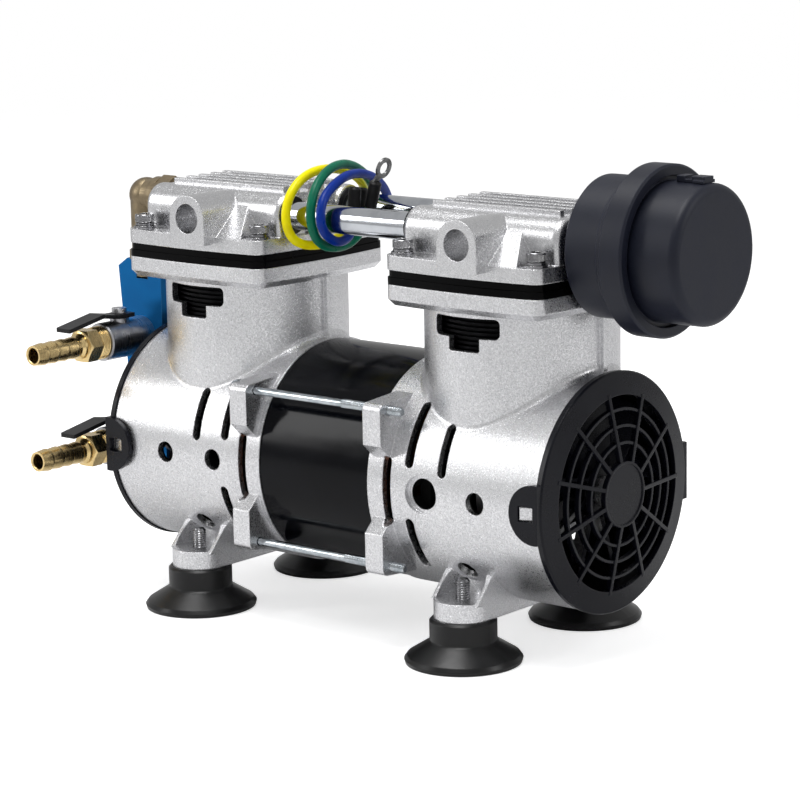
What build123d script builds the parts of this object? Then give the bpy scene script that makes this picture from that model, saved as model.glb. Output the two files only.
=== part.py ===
"""Pond aerator air pump: a twin-cylinder rocking-piston compressor on four suction feet.

Millimetres. The origin lies on the floor, midway between the four feet. +X runs along the motor
axis towards the intake filter, the two cylinders stand up along +Z, and the front faces -Y.
"""
import math
import os

from build123d import *

# Fits
CLEAR = 0.1
RUN_FIT = 0.05

# Suction feet
CUP_R = 24.4
CUP_LIP_Z = 1.6
CUP_TOP_Z = 8.7
COLLAR_R = 13.9
COLLAR_TOP_Z = 18.4
FOOT_PAD_T = 7.9
FOOT_PAD_R = 12.0
FOOT_GAP = 1.0
STUD_R = 3.0
STUD_UP = 8.2

# Crankcase castings
CASE_R = 49.0
CASE_WALL = 3.8
CASE_BORE_R = CASE_R - CASE_WALL
AXIS_Z = COLLAR_TOP_Z + FOOT_GAP + CASE_R
FOOT_Y = CASE_R - 7.5
FOOT_GUSSET_TOP = COLLAR_TOP_Z + 17.6
CASE_INNER_X = 30.3
HOUSING_R = 40.2
HOUSING_WALL = 3.8
HOUSING_BORE_R = HOUSING_R - HOUSING_WALL
HOUSING_RIB_W = 2.4
HOUSING_RIB_PROUD = 2.0
HOUSING_IN = 3.25
HOUSING_OUT = 3.45
CYL_X = CASE_INNER_X + HOUSING_IN + HOUSING_R
CASE_OUTER_X = CYL_X + HOUSING_R + HOUSING_OUT
FOOT_X = CYL_X + 0.25
FLANGE_RISE = 25.6
FLANGE_T = 8.7
FLANGE_Z0 = AXIS_Z + CASE_R + FLANGE_RISE
FLANGE_Z1 = FLANGE_Z0 + FLANGE_T
FLANGE_CORNER_X = HOUSING_R - 1.0
FLANGE_CORNER_Y = HOUSING_R + 0.2
FLANGE_BULGE = 2.6
FLANGE_ROUND = 5.0
FLANGE_CHAMFER = 2.6
BLEND_R = 3.0

# Casting openings: centre X, middle angle above the front (or back) mid line, width, span angle
SLOT_W = 4.4
FRONT_SLOTS = ((40.6, -0.7, 33.5), (51.8, 29.0, 34.0), (69.0, 22.8, 26.5), (51.2, -28.5, 30.5))
BACK_SLOTS = ((40.2, -0.9, 33.5), (50.9, 22.4, 23.0), (67.4, 22.3, 27.5), (52.6, -27.0, 27.0))
BIG_HOLE_X = 58.7
BIG_HOLE_R = 6.5
BIG_RIM_R = 8.1
BIG_RIM_DEPTH = 2.4
SMALL_HOLE_X = 86.6
SMALL_HOLE_R = 4.6
BACK_HOLE_X = 57.6
LOW_HOLE_X = 73.6
LOW_HOLE_ANGLE = -40.0
WINDOW_X = 1.1
WINDOW_HALF = 15.9
WINDOW_LOW_HALF = 7.6
WINDOW_STEP_Z = FLANGE_Z0 - 9.8
WINDOW_LOW_Z = FLANGE_Z0 - 15.4
WINDOW_ROUND = 2.2
WINDOW_TOP_GAP = 1.5

# Tie rods and their lugs
ROD_PROUD = 8.37
ROD_ANGLE = math.radians(34.81)
ROD_Y = (CASE_R + ROD_PROUD) * math.cos(ROD_ANGLE)
ROD_DZ = (CASE_R + ROD_PROUD) * math.sin(ROD_ANGLE)
ROD_R = 1.75
ROD_THREAD_R = 2.0
ROD_THREAD_L = 44.0
ROD_HEAD_R = 3.9
ROD_HEAD_H = 3.0
ROD_TAIL = 6.6
LUG_X = 32.5
LUG_T = 9.3
LUG_OUT = 6.4
LUG_UP = 2.9
LUG_DOWN = 14.2

# Motor
STATOR_R = CASE_R - 0.7
STATOR_WALL = 1.5
CORE_HALF = 24.0
CORE_BORE_R = 25.0
ROTOR_R = 24.6
ROTOR_RING_X = 29.0
WINDING_IN_R = 28.0
WINDING_OUT_R = 41.5
WINDING_X = 42.5
WINDING_GAP = 0.3
SLOT_COUNT = 24
SHAFT_R = 6.0
SHAFT_HALF = CASE_OUTER_X - 2.4
BEARING_X0 = CYL_X - 23.75
BEARING_W = 10.0
BEARING_R = 16.0
RACE_IN_R = 8.6
RACE_OUT_R = 13.2
BALL_COUNT = 8
WEB_T = 5.0
WEB_BOSS_R = 20.0
WEB_VENTS = 6
WEB_VENT_R = 7.5

# Crank, rod and piston
THROW = 4.0
ECC_R = 12.5
ECC_W = 12.0
ECC_COLLAR_R = 10.5
COUNTER_R = 30.0
COUNTER_W = 8.0
COUNTER_GAP = 1.0
ROD_BEARING_R = 19.0
ROD_BEARING_W = 11.0
BIG_END_R = 25.0
SHANK_W = 18.0
SHANK_T = 10.0
CUP_SEAL_R = HOUSING_BORE_R - 9.4
PISTON_R = CUP_SEAL_R - 1.0
PISTON_T = 5.0
CUP_SEAL_T = 1.2
CUP_LIP_T = 1.4
CUP_LIP_H = 2.6
RETAINER_R = CUP_SEAL_R - 5.0
RETAINER_T = 2.0
TDC_GAP = 0.7

# Cylinder sleeve, seal, valve plate and reeds
SLEEVE_WALL = 1.5
SLEEVE_SIDE_GAP = 0.5
SLEEVE_Z0 = FLANGE_Z0 - 31.0
SLEEVE_LIP_R = HOUSING_R - 1.8
SLEEVE_LIP_T = 2.5
SLEEVE_FIN_R = HOUSING_BORE_R - 0.8
SLEEVE_FIN_PITCH = 2.0
SLEEVE_FINS = 12
SLEEVE_FIN_Z0 = FLANGE_Z0 - 21.0
SEAL_T = 3.0
PLATE_T = 3.0
PORT_R = 2.6
PORT_SPACING = 7.5
REED_T = 0.3
REED_L = 26.0
REED_W = 8.0

# Cylinder head
SEAL_Z = FLANGE_Z1
PLATE_Z = SEAL_Z + SEAL_T
HEAD_Z = PLATE_Z + PLATE_T
HEAD_FLANGE_T = 6.1
HEAD_FLANGE_Z = HEAD_Z + HEAD_FLANGE_T
BARREL_Y = HOUSING_R - 21.3
BARREL_R = 9.3
TUBE_Z = HEAD_Z + 14.8
DECK_Z = TUBE_Z + 8.7
FIN_Z = DECK_Z + 2.7
HEAD_END = HOUSING_R - 0.2
HEAD_END_X = CYL_X + HEAD_END
FIN_COUNT = 5
FIN_HALF_Y = BARREL_Y - 3.45
FIN_T = 2.5
FIN_HALF_X = HEAD_END - 7.4
BOLT_X = FLANGE_CORNER_X - 5.2
BOLT_Y = FLANGE_CORNER_Y - 5.9
BOLT_R = 2.5
BOLT_HEAD_R = 4.25
BOLT_HEAD_H = 5.0
WASHER_R = 4.9
WASHER_T = 1.0
BOLT_GRIP = 7.0
SOCKET_KEY_R = 2.3
PORT_X = 5.2
PORT_Z = TUBE_Z - 0.6
PORT_FACE_Y = FLANGE_CORNER_Y + 8.3
PORT_HOLE_R = 6.4
PORT_DEPTH = 13.0
PORT_BOSS_R = 10.0
PORT_BOSS_Z0 = HEAD_Z + 3.3
WEDGE_LOW = (-12.0, 29.5)
WEDGE_HIGH = (0.5, 18.5)
CHAMBER_X = HEAD_END - 11.0
CHAMBER_Y = BARREL_Y + 6.6
CHAMBER_TOP = DECK_Z - 4.2
PARTITION_Y = 7.0
PARTITION_T = 3.0
END_BOSS_R = 9.6
END_BOSS_DROP = 1.8

# Transfer tubes
TUBE_R = 6.0
TUBE_WALL = 1.0
TUBE_SEAT = 9.0
RING_R = 8.2
RING_T = 2.2

# Fan covers and fans
COVER_R = CASE_R + 0.8
COVER_RIM_X = CASE_OUTER_X + 3.0
COVER_LIP_R = CASE_BORE_R - 0.2
COVER_LIP_X = CASE_OUTER_X - 5.4
COVER_LIP_T = 2.0
COVER_WALL = 2.2
GRILLE_R = CASE_R - 8.8
GRILLE_X = CASE_OUTER_X + 4.6
HUB_R = 13.5
HUB_X = GRILLE_X + 3.3
SPOKES = 11
SPOKE_W = 1.6
SPOKE_T = 2.2
GRILLE_RINGS = (GRILLE_R - 19.2, GRILLE_R - 12.4, GRILLE_R - 5.7)
RING_W = 1.2
CLIP_REACH = 14.0
CLIP_HALF = 12.0
CLIP_T = 2.2
CLIP_WINDOW = (CASE_OUTER_X - 7.0, CASE_OUTER_X + 0.2, 3.1)
CLIP_Y = CASE_R + 0.4
FAN_X = CASE_OUTER_X - 13.9
FAN_W = 10.0
FAN_HUB_R = 11.0
FAN_R = CASE_BORE_R - 4.2
FAN_BLADES = 9
FAN_PITCH = 38.0
FAN_BLADE_T = 1.6
FAN_CHORD = 15.0

# Intake filter
FILTER_Z = TUBE_Z - 3.6
FILTER_X0 = HEAD_END_X + 2.55
FILTER_STEP_X = FILTER_X0 + 15.7
FILTER_RING_X0 = FILTER_X0 + 20.7
FILTER_RING_X1 = FILTER_RING_X0 + 11.0
FILTER_X1 = FILTER_X0 + 52.5
FILTER_BASE_R = 28.7
FILTER_STEP_R = 29.3
FILTER_RING_R = 34.4
FILTER_CAP_R = 28.0
FILTER_WALL = 2.5
FILTER_ROUND = 3.5
ELEMENT_IN_R = 12.0
ELEMENT_OUT_R = 23.0
NIPPLE_R = 6.3
NIPPLE_BORE_R = 4.0
NIPPLE_SEAT = 8.0
CATCH = (FILTER_X1 - 16.3, FILTER_X1 - 3.3, 3.0, 2.6)
CATCH_SLOT = (4.0, 7.0, 1.4)
CATCH_BASE = (5.0, 1.0, 1.2)
CAP_STEP = 1.8

# Outlet: nipple, elbow, manifold, ball valves and hose barbs
OUT_Z = TUBE_Z - 0.2
OUT_HEX_X = (-HEAD_END_X - 15.75, -HEAD_END_X - 8.45)
OUT_HEX_AF = 17.0
ELBOW_REACH = 11.1
ELBOW_X = OUT_HEX_X[0] - ELBOW_REACH
ELBOW_R = 7.6
ELBOW_BAND_R = 8.8
ELBOW_BAND_W = 4.0
VALVE_X = ELBOW_X - 1.4
BLOCK_X = (VALVE_X - 13.6, VALVE_X + 13.2)
BLOCK_Y = (-5.0, 15.0)
BLOCK_Z = (AXIS_Z - 20.4, OUT_Z - 28.9)
BLOCK_WAIST = (BLOCK_X[0] + 3.6, BLOCK_Z[0] + 48.0)
BLOCK_CHAMFER = (6.0, 4.0)
BLOCK_BORE_R = 4.0
SOCKET_R = 6.1
SOCKET_DEPTH = 9.0
VALVE_Z = {"upper": BLOCK_Z[1] - 34.7, "lower": BLOCK_Z[0] + 13.0}
VALVE_R = 8.65
VALVE_Y = -31.5
VALVE_BORE_R = 3.2
BALL_R = 5.6
BALL_Y = -19.0
STEM_R = 2.0
BOSS_R = 4.4
BOSS_TOP = 9.7
LEVER_W = 9.0
LEVER_T = 1.8
LEVER_PEAK = (-33.0, 13.2)
LEVER_TIP = (-54.0, 9.4)
BARB_SEAT = 7.0
BARB_THREAD_R = 6.4
BARB_COLLAR_R = 7.5
BARB_COLLAR_Y = -36.4
BARB_HEX_Y = -44.0
BARB_HEX_AF = 14.0
BARB_ROOT_Y = -48.2
BARB_TIP_Y = -72.6
BARB_CREST_R = 5.0
BARB_ROOT_R = 4.1
BARB_LAND = 1.2
BARBS = 4
BARB_BORE_R = 3.0

# Lead wires: routes chosen by hand from the grommet to the sleeved end, centre lines.
# The first points of each start at the grommet's face, the others at the height of the tubes.
WIRE_R = 2.0
GROMMET_PROUD = 1.5
SHRINK_R = 2.7
SHRINK_BACK = 9.0
SHRINK_TIP = 2.5
EYE_R = 2.65
EYE_OUT_R = 4.6
EYE_T = 0.9
EYE_LEAN = 32.0
TERMINAL_NECK = 3.0
ROUTES = {
    "yellow": (
        [
            (-2.4, 0.0, 1.4), (-2.4, 9.5, 1.4), (-8.1, 18.0, 9.1), (-16.5, 19.0, 20.6),
            (-23.3, 10.5, 35.6), (-24.8, 0.5, 52.6),
        ],
        [
            (-77.0, 49.0, -25.0), (-67.0, 49.5, -10.5), (-54.0, 46.0, -2.0), (-43.0, 38.5, 4.0),
            (-35.5, 27.5, 10.0), (-31.5, 14.0, 16.0), (-30.0, -1.5, 18.8), (-29.4, -16.5, 17.3),
            (-29.0, -27.3, 9.5), (-28.6, -30.6, -1.5), (-27.0, -26.0, -11.0), (-22.5, -14.5, -12.8),
            (-18.5, -2.0, -8.5), (-16.6, 3.8, -0.5), (-15.9, 4.8, 8.0),
        ],
    ),
    "green": (
        [
            (0.0, 0.0, -2.8), (0.0, 9.5, -2.8), (-2.3, 20.0, 4.1), (-8.3, 20.0, 17.1),
            (-16.3, 10.5, 32.1), (-18.8, 0.5, 48.6),
        ],
        [
            (-70.5, 49.0, -28.5), (-60.5, 49.5, -15.5), (-49.0, 46.0, -6.5), (-38.5, 40.0, 1.0),
            (-30.5, 29.5, 8.0), (-25.0, 16.5, 16.0), (-21.5, 1.5, 21.3), (-18.0, -14.0, 20.5),
            (-15.0, -27.0, 13.0), (-13.6, -31.5, 1.0), (-13.2, -27.5, -9.5), (-13.2, -15.5, -13.3),
            (-11.6, -4.5, -10.9), (-8.3, 0.5, 0.0), (-4.7, 0.4, 12.0),
        ],
    ),
    "blue": (
        [
            (2.4, 0.0, 1.4), (2.4, 9.5, 1.4), (0.2, 18.5, 9.1), (-5.3, 14.5, 20.6),
            (-12.8, 4.5, 32.6), (-14.3, -3.5, 48.6),
        ],
        [
            (-65.5, 48.0, -30.0), (-56.0, 48.5, -20.0), (-44.0, 47.0, -12.2), (-33.0, 42.0, -6.0),
            (-24.5, 33.5, 1.0), (-19.5, 22.5, 10.5), (-16.5, 9.0, 16.3), (-14.3, -5.5, 17.5),
            (-11.7, -19.5, 13.7), (-9.5, -28.8, 7.5), (-8.6, -30.2, -3.2), (-8.1, -20.5, -10.3),
            (-9.4, -9.8, -8.1), (-11.8, -5.4, 0.5), (-11.3, -4.9, 9.5),
        ],
    ),
}
LEADS = ("yellow", "green", "blue")
EYE_LEAD = "green"

# Sizes that follow from the values above
PISTON_TOP = PLATE_Z - TDC_GAP
ROD_LENGTH = PISTON_TOP - (AXIS_Z + THROW)
SLEEVE_BORE_R = CUP_SEAL_R + THROW + SLEEVE_SIDE_GAP
PAD_TOP_Z = COLLAR_TOP_Z + FOOT_PAD_T
STUD_TOP_Z = PAD_TOP_Z + STUD_UP
FIN_PITCH = 2 * FIN_HALF_Y / (FIN_COUNT - 1)
SIDES = {"left": -1, "right": 1}


def along_x(radius, x0, x1, y=0.0, z=AXIS_Z):
    """A round bar along X from x0 to x1."""
    return Pos((x0 + x1) / 2, y, z) * Rot(0, 90, 0) * Cylinder(radius, x1 - x0)


def along_y(radius, y0, y1, x=0.0, z=0.0):
    """A round bar along Y from y0 to y1."""
    return Pos(x, (y0 + y1) / 2, z) * Rot(90, 0, 0) * Cylinder(radius, y1 - y0)


def along_z(radius, z0, z1, x=0.0, y=0.0):
    """A round bar along Z from z0 to z1."""
    return Pos(x, y, (z0 + z1) / 2) * Cylinder(radius, z1 - z0)


def block(x, y, z):
    """A box between two limits on each axis."""
    size = [high - low for low, high in (x, y, z)]
    centre = [(low + high) / 2 for low, high in (x, y, z)]
    return Pos(*centre) * Box(*size)


def turned(points, y=0.0, z=AXIS_Z):
    """A solid turned about an axis along X from (x, radius) points."""
    outline = Polyline(*[(x, radius) for x, radius in points], close=True)
    return Pos(0, y, z) * revolve(make_face(outline), Axis.X)


def turned_up(points, x=0.0, y=0.0):
    """A solid turned about an upright axis from (radius, z) points."""
    outline = Polyline(*[(radius, 0, z) for radius, z in points], close=True)
    return Pos(x, y, 0) * revolve(make_face(outline), Axis.Z)


def profile_x(points, x0, x1):
    """A bar along X whose section is a list of (y, z) points."""
    outline = Polyline(*[(x0, y, z) for y, z in points], close=True)
    return extrude(make_face(outline), amount=x1 - x0, dir=(1, 0, 0))


def profile_y(points, y0, y1):
    """A bar along Y whose section is a list of (x, z) points."""
    outline = Polyline(*[(x, y0, z) for x, z in points], close=True)
    return extrude(make_face(outline), amount=y1 - y0, dir=(0, 1, 0))


def to_side(shape, side):
    """The right-hand shape, or the same shape turned half round for the left."""
    return shape if side > 0 else Rot(0, 0, 180) * shape


def flange_outline(shrink=0.0):
    """The square of a cylinder flange, with gently bowed sides and round corners."""
    cx, cy = FLANGE_CORNER_X - shrink, FLANGE_CORNER_Y - shrink
    corners = [(-cx, -cy), (cx, -cy), (cx, cy), (-cx, cy)]
    bx, by = cx + FLANGE_BULGE, cy + FLANGE_BULGE
    middles = [(0, -by), (bx, 0), (0, by), (-bx, 0)]
    sides = [ThreePointArc(corners[i], middles[i], corners[(i + 1) % 4]) for i in range(4)]
    face = make_face(sides)
    return fillet(face.vertices(), FLANGE_ROUND)


def flange_slab(z0, z1, shrink=0.0):
    """A slab with the flange outline, about the upright axis."""
    return Pos(0, 0, z0) * extrude(flange_outline(shrink), amount=z1 - z0)


def bolt_places():
    """The four head bolt places about the cylinder axis."""
    return [(x, y) for x in (-BOLT_X, BOLT_X) for y in (-BOLT_Y, BOLT_Y)]


def at_angle(shape, angle):
    """A shape that points to the front, turned up about the motor axis by an angle."""
    return Pos(0, 0, AXIS_Z) * Rot(-angle, 0, 0) * Pos(0, 0, -AXIS_Z) * shape


def arc_slot(x, angle, span):
    """A slot that runs round the casting, with round ends, for the front side."""
    inner, outer = CASE_BORE_R - 4, CASE_R + 6
    half = span / 2 - math.degrees(SLOT_W / 2 / CASE_R)
    ring = along_x(outer, x - SLOT_W / 2, x + SLOT_W / 2) - along_x(inner, x - SLOT_W, x + SLOT_W)
    reach = 2 * outer
    edge_low = (-reach * math.cos(math.radians(half)), AXIS_Z - reach * math.sin(math.radians(half)))
    edge_high = (edge_low[0], 2 * AXIS_Z - edge_low[1])
    wedge = profile_x([(0, AXIS_Z), edge_low, edge_high], x - SLOT_W, x + SLOT_W)
    slot = ring & wedge
    for end in (-half, half):
        slot += at_angle(along_y(SLOT_W / 2, -outer, -inner, x, AXIS_Z), end)
    return at_angle(slot, angle)


def side_hole(x, radius, angle=0.0, inner=CASE_BORE_R - 4):
    """A round hole through the casting wall, for the front side."""
    return at_angle(along_y(radius, -CASE_R - 6, -inner, x, AXIS_Z), angle)


def cylinder_window():
    """The stepped window low in the front of the cylinder housing."""
    x = CYL_X + WINDOW_X
    top = FLANGE_Z0 - WINDOW_TOP_GAP
    middle = (WINDOW_STEP_Z + top) / 2
    depth = (-HOUSING_R - 3, -HOUSING_BORE_R / 2)
    upper = block((x - WINDOW_HALF, x + WINDOW_HALF), depth, (WINDOW_STEP_Z, top))
    lower = block((x - WINDOW_LOW_HALF, x + WINDOW_LOW_HALF), depth, (WINDOW_LOW_Z, middle))
    upper = fillet(upper.edges().filter_by(Axis.Y), WINDOW_ROUND)
    return upper + fillet(lower.edges().filter_by(Axis.Y), WINDOW_ROUND / 2)


def rod_lug(y_side, z_side):
    """One lug that takes a tie rod, on the casting's inner end."""
    out = ROD_Y + LUG_OUT
    high = ROD_DZ + LUG_UP
    low = ROD_DZ - LUG_DOWN
    slope_in = math.sqrt(CASE_R ** 2 - (low - 6) ** 2)
    top_in = math.sqrt(CASE_R ** 2 - (high + 3) ** 2)
    points = [(-out, high), (-out, low), (-slope_in, low - 6), (-slope_in + 9, low)]
    points.append((-top_in + 2, high + 2))
    lug = profile_x([(y, z + AXIS_Z) for y, z in points], LUG_X, LUG_X + LUG_T)
    corner = lug.edges().filter_by(Axis.X).sort_by(Axis.Y)[:2].sort_by(Axis.Z)[-1]
    lug = fillet(corner, LUG_OUT / 2)
    if z_side < 0:
        lug = Pos(0, 0, 2 * AXIS_Z) * mirror(lug, Plane.XY)
    return mirror(lug, Plane.XZ) if y_side > 0 else lug


def foot_bar():
    """The bar under a casting that carries two feet, with a gusset at each end."""
    bar = block((FOOT_X - FOOT_PAD_R, FOOT_X + FOOT_PAD_R), (-FOOT_Y, FOOT_Y), (COLLAR_TOP_Z, PAD_TOP_Z))
    for y_side in (-1, 1):
        bar += along_z(FOOT_PAD_R, COLLAR_TOP_Z, PAD_TOP_Z, FOOT_X, y_side * FOOT_Y)
        slope = [
            (y_side * (FOOT_Y + 6), PAD_TOP_Z - 1), (y_side * (FOOT_Y - 4), FOOT_GUSSET_TOP),
            (y_side * (FOOT_Y - 16), FOOT_GUSSET_TOP), (0, PAD_TOP_Z - 1),
        ]
        gusset = profile_x(slope, FOOT_X - FOOT_PAD_R, FOOT_X + FOOT_PAD_R)
        hollow = (FOOT_X, y_side * (FOOT_Y + 1.5))
        gusset -= along_z(FOOT_PAD_R - 1.5, PAD_TOP_Z, FOOT_GUSSET_TOP + 5, *hollow)
        bar += gusset
    return bar


def bearing_web():
    """The wall that carries the shaft bearing inside a casting."""
    middle = BEARING_X0 + BEARING_W / 2
    web = along_x(CASE_BORE_R + 1, middle - WEB_T / 2, middle + WEB_T / 2)
    web += along_x(WEB_BOSS_R, BEARING_X0, BEARING_X0 + BEARING_W)
    web -= along_x(BEARING_R, BEARING_X0 - 1, BEARING_X0 + BEARING_W + 1)
    radius = (WEB_BOSS_R + CASE_BORE_R) / 2
    for i in range(WEB_VENTS):
        turn = 2 * math.pi * i / WEB_VENTS
        y, z = radius * math.sin(turn), AXIS_Z + radius * math.cos(turn)
        web -= along_x(WEB_VENT_R, BEARING_X0, BEARING_X0 + BEARING_W, y, z)
    return web


def clip_lug(y_side):
    """The wedge on the casting that a fan cover's clip snaps over."""
    x0, x1, half = CLIP_WINDOW
    points = [(x0 + 0.5, CASE_R - 1), (x0 + 0.5, CLIP_Y + CLIP_T - 0.5)]
    points += [(x1 - 1, CASE_R + 0.2), (x1 - 1, CASE_R - 1)]
    outline = Polyline(*[(x, y, AXIS_Z - half + 0.5) for x, y in points], close=True)
    lug = extrude(make_face(outline), amount=2 * half - 1, dir=(0, 0, 1))
    return lug if y_side > 0 else mirror(lug, Plane.XZ)


def crankcase():
    """The right-hand casting: crankcase, cylinder housing, flange, lugs and foot bar in one."""
    shell = along_x(CASE_R, CASE_INNER_X, CASE_OUTER_X)
    housing = along_z(HOUSING_R, AXIS_Z, FLANGE_Z0 + 1, CYL_X)
    shell = shell + housing
    joint = [e for e in shell.edges() if e.geom_type not in (GeomType.LINE, GeomType.CIRCLE)]
    shell = fillet(joint, BLEND_R)
    slab = flange_slab(FLANGE_Z0, FLANGE_Z1)
    slab = chamfer(slab.faces().sort_by(Axis.Z)[0].edges(), FLANGE_CHAMFER)
    shell += Pos(CYL_X, 0, 0) * slab
    rib_reach = HOUSING_R + HOUSING_RIB_PROUD
    shell += block(
        (CYL_X - rib_reach, CYL_X + rib_reach), (-HOUSING_RIB_W / 2, HOUSING_RIB_W / 2),
        (AXIS_Z + CASE_R - 3, FLANGE_Z0 + 1),
    )
    shell += foot_bar()
    for y_side in (-1, 1):
        shell += clip_lug(y_side)
        for z_side in (-1, 1):
            shell += rod_lug(y_side, z_side)
    shell -= along_x(CASE_BORE_R, CASE_INNER_X - 1, CASE_OUTER_X + 1)
    shell -= along_z(HOUSING_BORE_R, AXIS_Z, FLANGE_Z1 + 1, CYL_X)
    shell -= along_z(SLEEVE_LIP_R, FLANGE_Z1 - SLEEVE_LIP_T, FLANGE_Z1 + 1, CYL_X)
    shell += bearing_web()
    for y_side in (-1, 1):
        for z_side in (-1, 1):
            y, z = y_side * ROD_Y, AXIS_Z + z_side * ROD_DZ
            shell -= along_x(ROD_THREAD_R + CLEAR, LUG_X - 1, LUG_X + LUG_T + 1, y, z)
        shell -= along_z(STUD_R + CLEAR, COLLAR_TOP_Z - 1, PAD_TOP_Z + 1, FOOT_X, y_side * FOOT_Y)
    for x, y in bolt_places():
        shell -= along_z(BOLT_R + CLEAR, FLANGE_Z1 - BOLT_GRIP - 1, FLANGE_Z1 + 1, CYL_X + x, y)
    return shell - front_openings() - back_openings()


def front_openings():
    """Slots, holes and window on the side with the counterbored hole."""
    cut = Compound([arc_slot(*slot) for slot in FRONT_SLOTS])
    parts = [cut, side_hole(BIG_HOLE_X, BIG_HOLE_R), side_hole(SMALL_HOLE_X, SMALL_HOLE_R)]
    parts.append(side_hole(BIG_HOLE_X, BIG_RIM_R, 0.0, CASE_R - BIG_RIM_DEPTH))
    parts.append(side_hole(LOW_HOLE_X, SMALL_HOLE_R, LOW_HOLE_ANGLE))
    parts.append(cylinder_window())
    return parts


def back_openings():
    """Slots, plain holes and window on the other side."""
    parts = [arc_slot(*slot) for slot in BACK_SLOTS]
    parts.append(side_hole(BACK_HOLE_X, SMALL_HOLE_R))
    parts.append(side_hole(SMALL_HOLE_X - 0.8, SMALL_HOLE_R))
    parts.append(side_hole(LOW_HOLE_X, SMALL_HOLE_R, LOW_HOLE_ANGLE))
    parts.append(cylinder_window())
    return [mirror(part, Plane.XZ) for part in parts]


def grommet():
    """The rubber grommet that the three leads leave through, in the left casting's wide back hole."""
    face = CASE_R + GROMMET_PROUD
    body = along_y(BIG_HOLE_R - CLEAR, CASE_BORE_R - 2, face, -BIG_HOLE_X, AXIS_Z)
    body += along_y(BIG_RIM_R - CLEAR, CASE_R - BIG_RIM_DEPTH + CLEAR, face, -BIG_HOLE_X, AXIS_Z)
    return body


def cylinder_sleeve(side):
    """A thin cylinder liner with fine rings round it and a lip that hangs in the flange."""
    wall_r = SLEEVE_BORE_R + SLEEVE_WALL
    top = FLANGE_Z1
    points = [(SLEEVE_BORE_R, SLEEVE_Z0), (wall_r, SLEEVE_Z0)]
    for i in range(SLEEVE_FINS):
        z = SLEEVE_FIN_Z0 + i * SLEEVE_FIN_PITCH
        points += [(wall_r, z), (SLEEVE_FIN_R, z), (SLEEVE_FIN_R, z + SLEEVE_FIN_PITCH / 2)]
        points += [(wall_r, z + SLEEVE_FIN_PITCH / 2)]
    points += [(wall_r, top - SLEEVE_LIP_T), (SLEEVE_LIP_R - CLEAR, top - SLEEVE_LIP_T)]
    points += [(SLEEVE_LIP_R - CLEAR, top), (SLEEVE_BORE_R, top)]
    return turned_up(points, side * CYL_X)


def head_seal(side):
    """A black moulded seal between flange and valve plate."""
    seal = flange_slab(SEAL_Z, SEAL_Z + SEAL_T) - along_z(SLEEVE_BORE_R, SEAL_Z - 1, PLATE_Z + 1)
    for x, y in bolt_places():
        seal -= along_z(BOLT_R + CLEAR, SEAL_Z - 1, PLATE_Z + 1, x, y)
    return Pos(side * CYL_X, 0, 0) * seal


def valve_plate(side):
    """The valve plate with a row of ports under each head chamber."""
    plate = flange_slab(PLATE_Z, HEAD_Z, 0.5)
    for y_side in (-1, 1):
        for i in (-1, 0, 1):
            plate -= along_z(PORT_R, PLATE_Z - 1, HEAD_Z + 1, i * PORT_SPACING, y_side * BARREL_Y)
    for x, y in bolt_places():
        plate -= along_z(BOLT_R + CLEAR, PLATE_Z - 1, HEAD_Z + 1, x, y)
    return Pos(side * CYL_X, 0, 0) * plate


def reed_valves():
    """Inlet reeds under the plates and outlet reeds on top of them."""
    reeds = []
    for side in SIDES.values():
        x, half = side * CYL_X, REED_L / 2
        span = (x - half, x + half)
        inlet = block(span, (-BARREL_Y - REED_W / 2, -BARREL_Y + REED_W / 2), (PLATE_Z - REED_T, PLATE_Z))
        outlet = block(span, (BARREL_Y - REED_W / 2, BARREL_Y + REED_W / 2), (HEAD_Z, HEAD_Z + REED_T))
        reeds += [inlet, outlet]
    return Compound([fillet(r.edges().filter_by(Axis.Z), REED_W / 2 - 0.5) for r in reeds])


def port_wedge():
    """The sloping body that joins the port boss to the deck and the flange."""
    low_y, high_y = (BARREL_Y, FLANGE_CORNER_Y + 1.4), (BARREL_Y - 2, BARREL_Y + 3)
    low = Pos(sum(WEDGE_LOW) / 2, -sum(low_y) / 2, HEAD_FLANGE_Z - 0.5)
    low = low * Rectangle(WEDGE_LOW[1] - WEDGE_LOW[0], low_y[1] - low_y[0])
    high = Pos(sum(WEDGE_HIGH) / 2, -sum(high_y) / 2, DECK_Z)
    high = high * Rectangle(WEDGE_HIGH[1] - WEDGE_HIGH[0], high_y[1] - high_y[0])
    return loft([low, high])


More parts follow.
